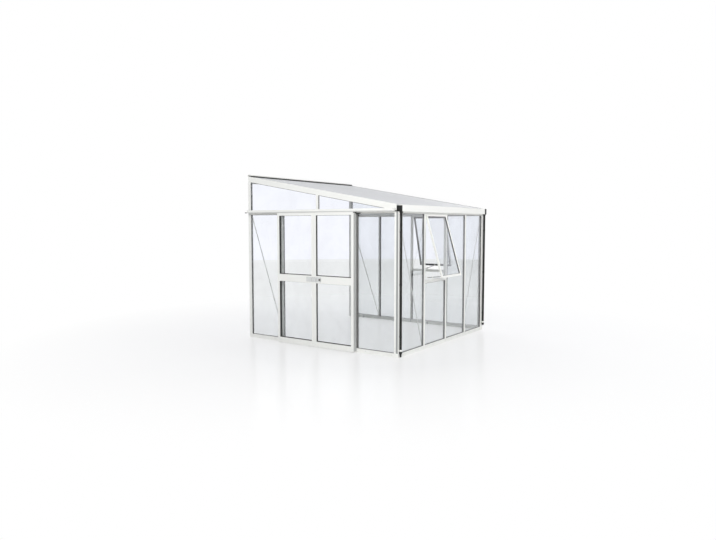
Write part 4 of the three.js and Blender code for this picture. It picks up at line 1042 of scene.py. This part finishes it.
# (radius, height): the outlet from its lower end, the shoe, the pipe's upper end, a clip's band from the
# clip's foot, the collar
OUTLET = [(10, 0), (12.5, 0), (13, 2)]
SHOE = [
    (13, 58), (18.5, 60), (20.5, 62.5), (20.5, 92), (19.5, 94),
    (17, 94), (17, 122), (18.6, 122.6), (18.6, 140), (17, 141),
]
PIPE_END = [(17, 2076), (18, 2078), (18, 2097.7), (BORE, 2097.7)]
BAND = [(17.2, -2), (18.6, -1.4), (18.6, CLIP + 1.4), (17.2, CLIP + 2)]
COLLAR = [(17.2, 95), (19.4, 95.4), (19.8, 97), (19.8, 119), (19.4, 120.6), (17.2, 121)]
# (v, z) outline of the right end cap's sleeve, over the gutter's front
SLEEVE = [
    (-50.1, 2095.2), (-43, 2095.2), (-43, 2093.8), (-51.6, 2093.8),
    (-51.6, 2191.6), (-42.4, 2191.6), (-42.4, 2190.1), (-50.1, 2190.1),
]
SLEEVE_LENGTH = 66


def raised(profile, lift):
    """A profile of (radius, height) points moved up."""
    return [(r, z + lift) for r, z in profile]


def make_downpipe(side, sign, lift, outlet):
    """A smooth pipe. Its shoe and collar sit higher by the lift, over a narrower outlet that starts
    at the given height."""
    end = 0 if sign < 0 else WIDTH
    u = end - sign * PIPE_INSET
    centre = at(FRONT, u, PIPE_OUT, 0)
    profile = [*raised(OUTLET, outlet), *raised(SHOE, lift), *PIPE_END, (BORE, 60 + lift)]
    cap = stretch(end, -sign, 0, CAP_THICKNESS)
    shapes = [
        turned(centre, UP, profile, ROUND, hollow=True),
        rounded_plate(FRONT, (u, HOPPER_HEIGHT), HOPPER_SIZE, radius=3, front=-41, back=-0.4, bevel=2),
        *(block(FRONT, cap, v, z) for v, z in CAP_BLOCKS),
    ]
    if sign > 0:
        shapes.append(slab(FRONT, SLEEVE, WIDTH - SLEEVE_LENGTH, WIDTH, 0.3, "u"))
    for z in CLIP_HEIGHTS:
        shapes.append(block(FRONT, span(u, 8), (-10, -0.4), (z, z + CLIP)))
        shapes.append(turned(centre, UP, raised(BAND, z), ROUND))
    made = black_piece(side + "_downpipe_moulded", shapes)
    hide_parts(side + "_downpipe")
    ring = turned(centre, UP, raised(COLLAR, lift), ROUND)
    saddle = block(FRONT, span(u, 7), (-6, -0.2), (96 + lift, 120 + lift))
    piece(side + "_downpipe_collar", [ring, saddle], WHITE, smooth=True)


make_downpipe("left", -1, lift=0, outlet=14)
make_downpipe("right", 1, lift=36, outlet=84)


# Grey strips on the corner posts as painted shade of their seams, plates over the joints inside, bolts of the
# braces, floor anchors
POST_MIDDLE = 30  # from a gable's end
SHADE_STRIP_HALF = 16
SHADE_STRIP_HEIGHT = (61, 2096)
# (v, z) outlines of the plates at the uprights' feet and of the floor anchors
JOINT_FOOT = [
    (50.1, 12), (52.1, 12), (52.1, 62.2), (47.1, 62.2),
    (47.1, 108), (45.1, 108), (45.1, 60.2), (50.1, 60.2),
]
ANCHOR = [(50.1, 0.5), (90, 0.5), (90, 3), (52.7, 3), (52.7, 42), (50.1, 42)]
FOOT_HALF = 10
FOOT_SCREWS = ((52.1, 36), (47.1, 90))  # v and height
ANCHOR_HALF = 20
ANCHOR_BOLT = (73, 3)
ANCHOR_SCREW = (52.7, 26)
BEND = 0.6  # radius of the plates' bends, and bevel of their edges
CORNER_SCREW = 62  # from the corner of the house
BRACE_BACK = 49.3
BRACE_FOOT = 80
PLATE_MIDDLE = HEAD_BOTTOM - 8
PLATE_FACE = FRAME_DEPTH + 2
PLATE = {"size": (20, 60), "radius": 6, "front": PLATE_FACE, "back": FRAME_DEPTH + GAP, "bevel": BEND}
MULLIONS = (END_BAY, WIDTH / 2, WIDTH - END_BAY)
INNER_BAYS = (GABLE_BAY, 2 * GABLE_BAY, 3 * GABLE_BAY)
FRONT_BRACE = [(CORNER_SCREW, BRACE_BACK, 2034), (END_BAY, BRACE_BACK, BRACE_FOOT)]
GABLE_BRACE = [(DEPTH - POST_MIDDLE, 2090), (DEPTH - GABLE_BAY, BRACE_FOOT)]
JOINTS = (  # wall, places of the plates at its head and at its foot
    (FRONT, MULLIONS, MULLIONS[1:2]),
    (VENT_GABLE, INNER_BAYS, INNER_BAYS[:2]),
    (DOOR_GABLE, (INNER_BAYS[0], INNER_BAYS[2]), INNER_BAYS[2:]),
)
QUARTERS = [DEPTH * k / 8 for k in (1, 3, 5, 7)]


def make_seam_shade_strips():
    seam_shade_strips = []
    for w in (DOOR_GABLE, VENT_GABLE):
        middle = from_eaves(w, POST_MIDDLE)
        # painted shade: a grey strip where the post's seam lies in shade
        seam_shade_strips.append(block(w, span(middle, SHADE_STRIP_HALF), (-0.9, 0.1), SHADE_STRIP_HEIGHT))
    piece("corner_post_seam_shade_strips", seam_shade_strips, SEAM_SHADE_GREY)


def make_joints():
    plates, heads = [], []
    foot = softened(JOINT_FOOT, BEND, 2)
    for w, heads_at, feet_at in JOINTS:
        for u in feet_at:
            plates.append(slab(w, foot, *span(u, FOOT_HALF), BEND, "u"))
            heads.append(screws(w, [(u, *spot) for spot in FOOT_SCREWS], facing=1))
        for u in heads_at:
            plates.append(rounded_plate(w, (u, PLATE_MIDDLE), **PLATE))
            heads.append(screws(w, crossings([u], PLATE_FACE, span(PLATE_MIDDLE, 18)), facing=1))
    piece("joint_plates", plates, STEEL)
    ends = FRONT_BRACE + [(WIDTH - u, v, z) for u, v, z in FRONT_BRACE]
    heads.append(screws(FRONT, ends, **BRACE_BOLT, facing=1))
    for w in (DOOR_GABLE, VENT_GABLE):
        spots = [(from_eaves(w, s), BRACE_BACK, z) for s, z in GABLE_BRACE]
        heads.append(screws(w, spots, **BRACE_BOLT, facing=1))
    screw_piece("joint_screws", heads)


WASHER = [(9, 0), (9, 1.4), (8.6, 1.8)]
HEXAGON = [(5.6, 1.7), (5.6, 6.2), (4.8, 7)]


def bolt_head():
    """A six-sided head on a round washer, on the plane z = 0."""
    washer = turned((0, 0, 0), UP, WASHER, 20)
    head = turned((0, 0, 0), UP, HEXAGON, 6)
    return joined([washer, head])


def make_anchors():
    angle = softened(ANCHOR, BEND, 2)
    anchors, bolts = [], []
    for w, places in ((FRONT, QUARTERS), (VENT_GABLE, QUARTERS), (DOOR_GABLE, (QUARTERS[0], QUARTERS[3]))):
        anchors += [slab(w, angle, *span(u, ANCHOR_HALF), BEND, "u") for u in places]
        spots = np.array([at(w, u, *ANCHOR_BOLT) for u in places])
        bolts.append(copies(bolt_head(), spots, (w.along, w.inward, w.up)))
        bolts.append(screws(w, [(u, *ANCHOR_SCREW) for u in places], facing=1))
    piece("floor_anchors", anchors, STEEL)
    piece("anchor_bolts", bolts, SCREW)


make_seam_shade_strips()
make_joints()
make_anchors()


# Screws of the frame, inside and outside
WALL_POST_SCREWS = np.linspace(200, 2400, 8)
CORNER_SCREWS = (90, 130, 2030)
INNER_SCREWS = (120, 2000, 2300)
SILL_SCREWS = np.linspace(120, DEPTH - 120, 7)
HEAD_SCREWS = np.linspace(160, WIDTH - 160, 9)
HEAD_SCREW_HEIGHT = HEAD_BOTTOM + 12


def make_frame_screws():
    heads = []
    for w in (DOOR_GABLE, VENT_GABLE):
        wall_post = from_eaves(w, DEPTH - POST_MIDDLE)
        spots = crossings([wall_post], 0, WALL_POST_SCREWS)
        spots += crossings([from_eaves(w, CORNER_SCREW)], 0, CORNER_SCREWS)
        spots += [(from_eaves(w, s), 0, SILL_HEIGHT / 2) for s in SILL_SCREWS]
        heads.append(screws(w, spots))
        heads.append(screws(w, crossings([wall_post], FRAME_DEPTH, INNER_SCREWS), facing=1))
    front = crossings(SILL_SCREWS, 0, [SILL_HEIGHT / 2]) + crossings(HEAD_SCREWS, 0, [HEAD_SCREW_HEIGHT])
    heads.append(screws(FRONT, front))
    screw_piece("frame_screws", heads)


make_frame_screws()


# Stage: floor, light and background
FLOOR_REACH = 24
FLOOR_STEPS = 96
FLOOR_DROP = 0.5 * MM
FLOOR_COLOUR = (0.86, 0.86, 0.86)
BACKGROUND = (1, 1, 1)
AMBIENT = (0.93, 0.96, 1.0)
AMBIENT_STRENGTH = 0.3
SKY = (0.945, 0.945, 1.0)  # what the glass mirrors
SKY_STRENGTH = 1.15
SHADED_FROM = 2.6  # the floor shows its light and shade near the object and turns plain further out
SHADED_TO = 6.0
PLAIN_NEAR = 0.55  # share of the plain background in the floor near the object
CENTRE = (0, 1.4, 1.2)
SEEN_THROUGH = ["Is Camera Ray", "Is Transmission Ray"]
# Place, side in metres and watts of each square lamp; all point to the centre
LAMPS = {
    "key": ((-11, -5, 6), 6, 1120),
    "front fill": ((3, -11, 7), 6, 520),
    "back fill": ((8, 10, 8), 8, 560),
    "side fill": ((12, 2.5, 8), 6, 600),
}


def only_seen(tree, rays):
    """1 for the named rays that no matt surface has scattered, so the bright backdrop lights nothing."""
    path = add_node(tree, "LightPath").outputs
    seen = path[rays[0]]
    for ray in rays[1:]:
        seen = value_node(tree, "MAXIMUM", seen, path[ray])
    return value_node(tree, "MULTIPLY", seen, value_node(tree, "LESS_THAN", path["Diffuse Depth"], 0.5))


def make_floor():
    angle = np.arange(FLOOR_STEPS) * 2 * math.pi / FLOOR_STEPS
    rim = (FLOOR_REACH * np.cos(angle), FLOOR_REACH * np.sin(angle), np.full(FLOOR_STEPS, -FLOOR_DROP))
    material, tree, shader = new_material("studio floor")
    floor = mesh_object("floor", np.stack(rim, -1), [list(range(FLOOR_STEPS))], material)
    set_inputs(tree, shader, Base_Color=(*FLOOR_COLOUR, 1), Roughness=0.2, Specular_IOR_Level=0.15)
    glow = add_node(tree, "Emission", Color=(*BACKGROUND, 1))
    away = add_node(tree, "VectorMath")
    away.operation = "DISTANCE"
    feed(tree, away.inputs[0], object_place(tree))
    feed(tree, away.inputs[1], (*CENTRE[:2], 0))
    plain = ramp(tree, away.outputs["Value"], SHADED_FROM, SHADED_TO, to_low=PLAIN_NEAR)
    seen = value_node(tree, "MULTIPLY", only_seen(tree, SEEN_THROUGH), plain)
    both = mix_shaders(tree, seen, shader.outputs[0], glow.outputs[0])
    set_inputs(tree, tree.nodes["Material Output"], Surface=both)


def make_world():
    world = bpy.data.worlds.new("studio")
    world.use_nodes = True
    bpy.context.scene.world = world
    tree = world.node_tree
    ambient = tree.nodes["Background"]
    set_inputs(tree, ambient, Color=(*AMBIENT, 1), Strength=AMBIENT_STRENGTH)
    shown = ambient.outputs[0]
    for colour, strength, rays in ((BACKGROUND, 1, SEEN_THROUGH), (SKY, SKY_STRENGTH, ["Is Glossy Ray"])):
        bright = add_node(tree, "Background", Color=(*colour, 1), Strength=strength)
        shown = mix_shaders(tree, only_seen(tree, rays), shown, bright.outputs[0])
    set_inputs(tree, tree.nodes["World Output"], Surface=shown)


def make_lamp(name, place, size, power):
    data = bpy.data.lights.new(name, "AREA")
    data.shape = "SQUARE"
    data.size = size
    data.energy = power
    lamp = new_object(name, data)
    lamp.location = place
    lamp.rotation_euler = (Vector(CENTRE) - Vector(place)).to_track_quat("-Z", "Y").to_euler()
    lamp.visible_glossy = False


make_floor()
make_world()
for name, lamp in LAMPS.items():
    make_lamp(name, *lamp)

bpy.context.scene.view_settings.view_transform = "Standard"
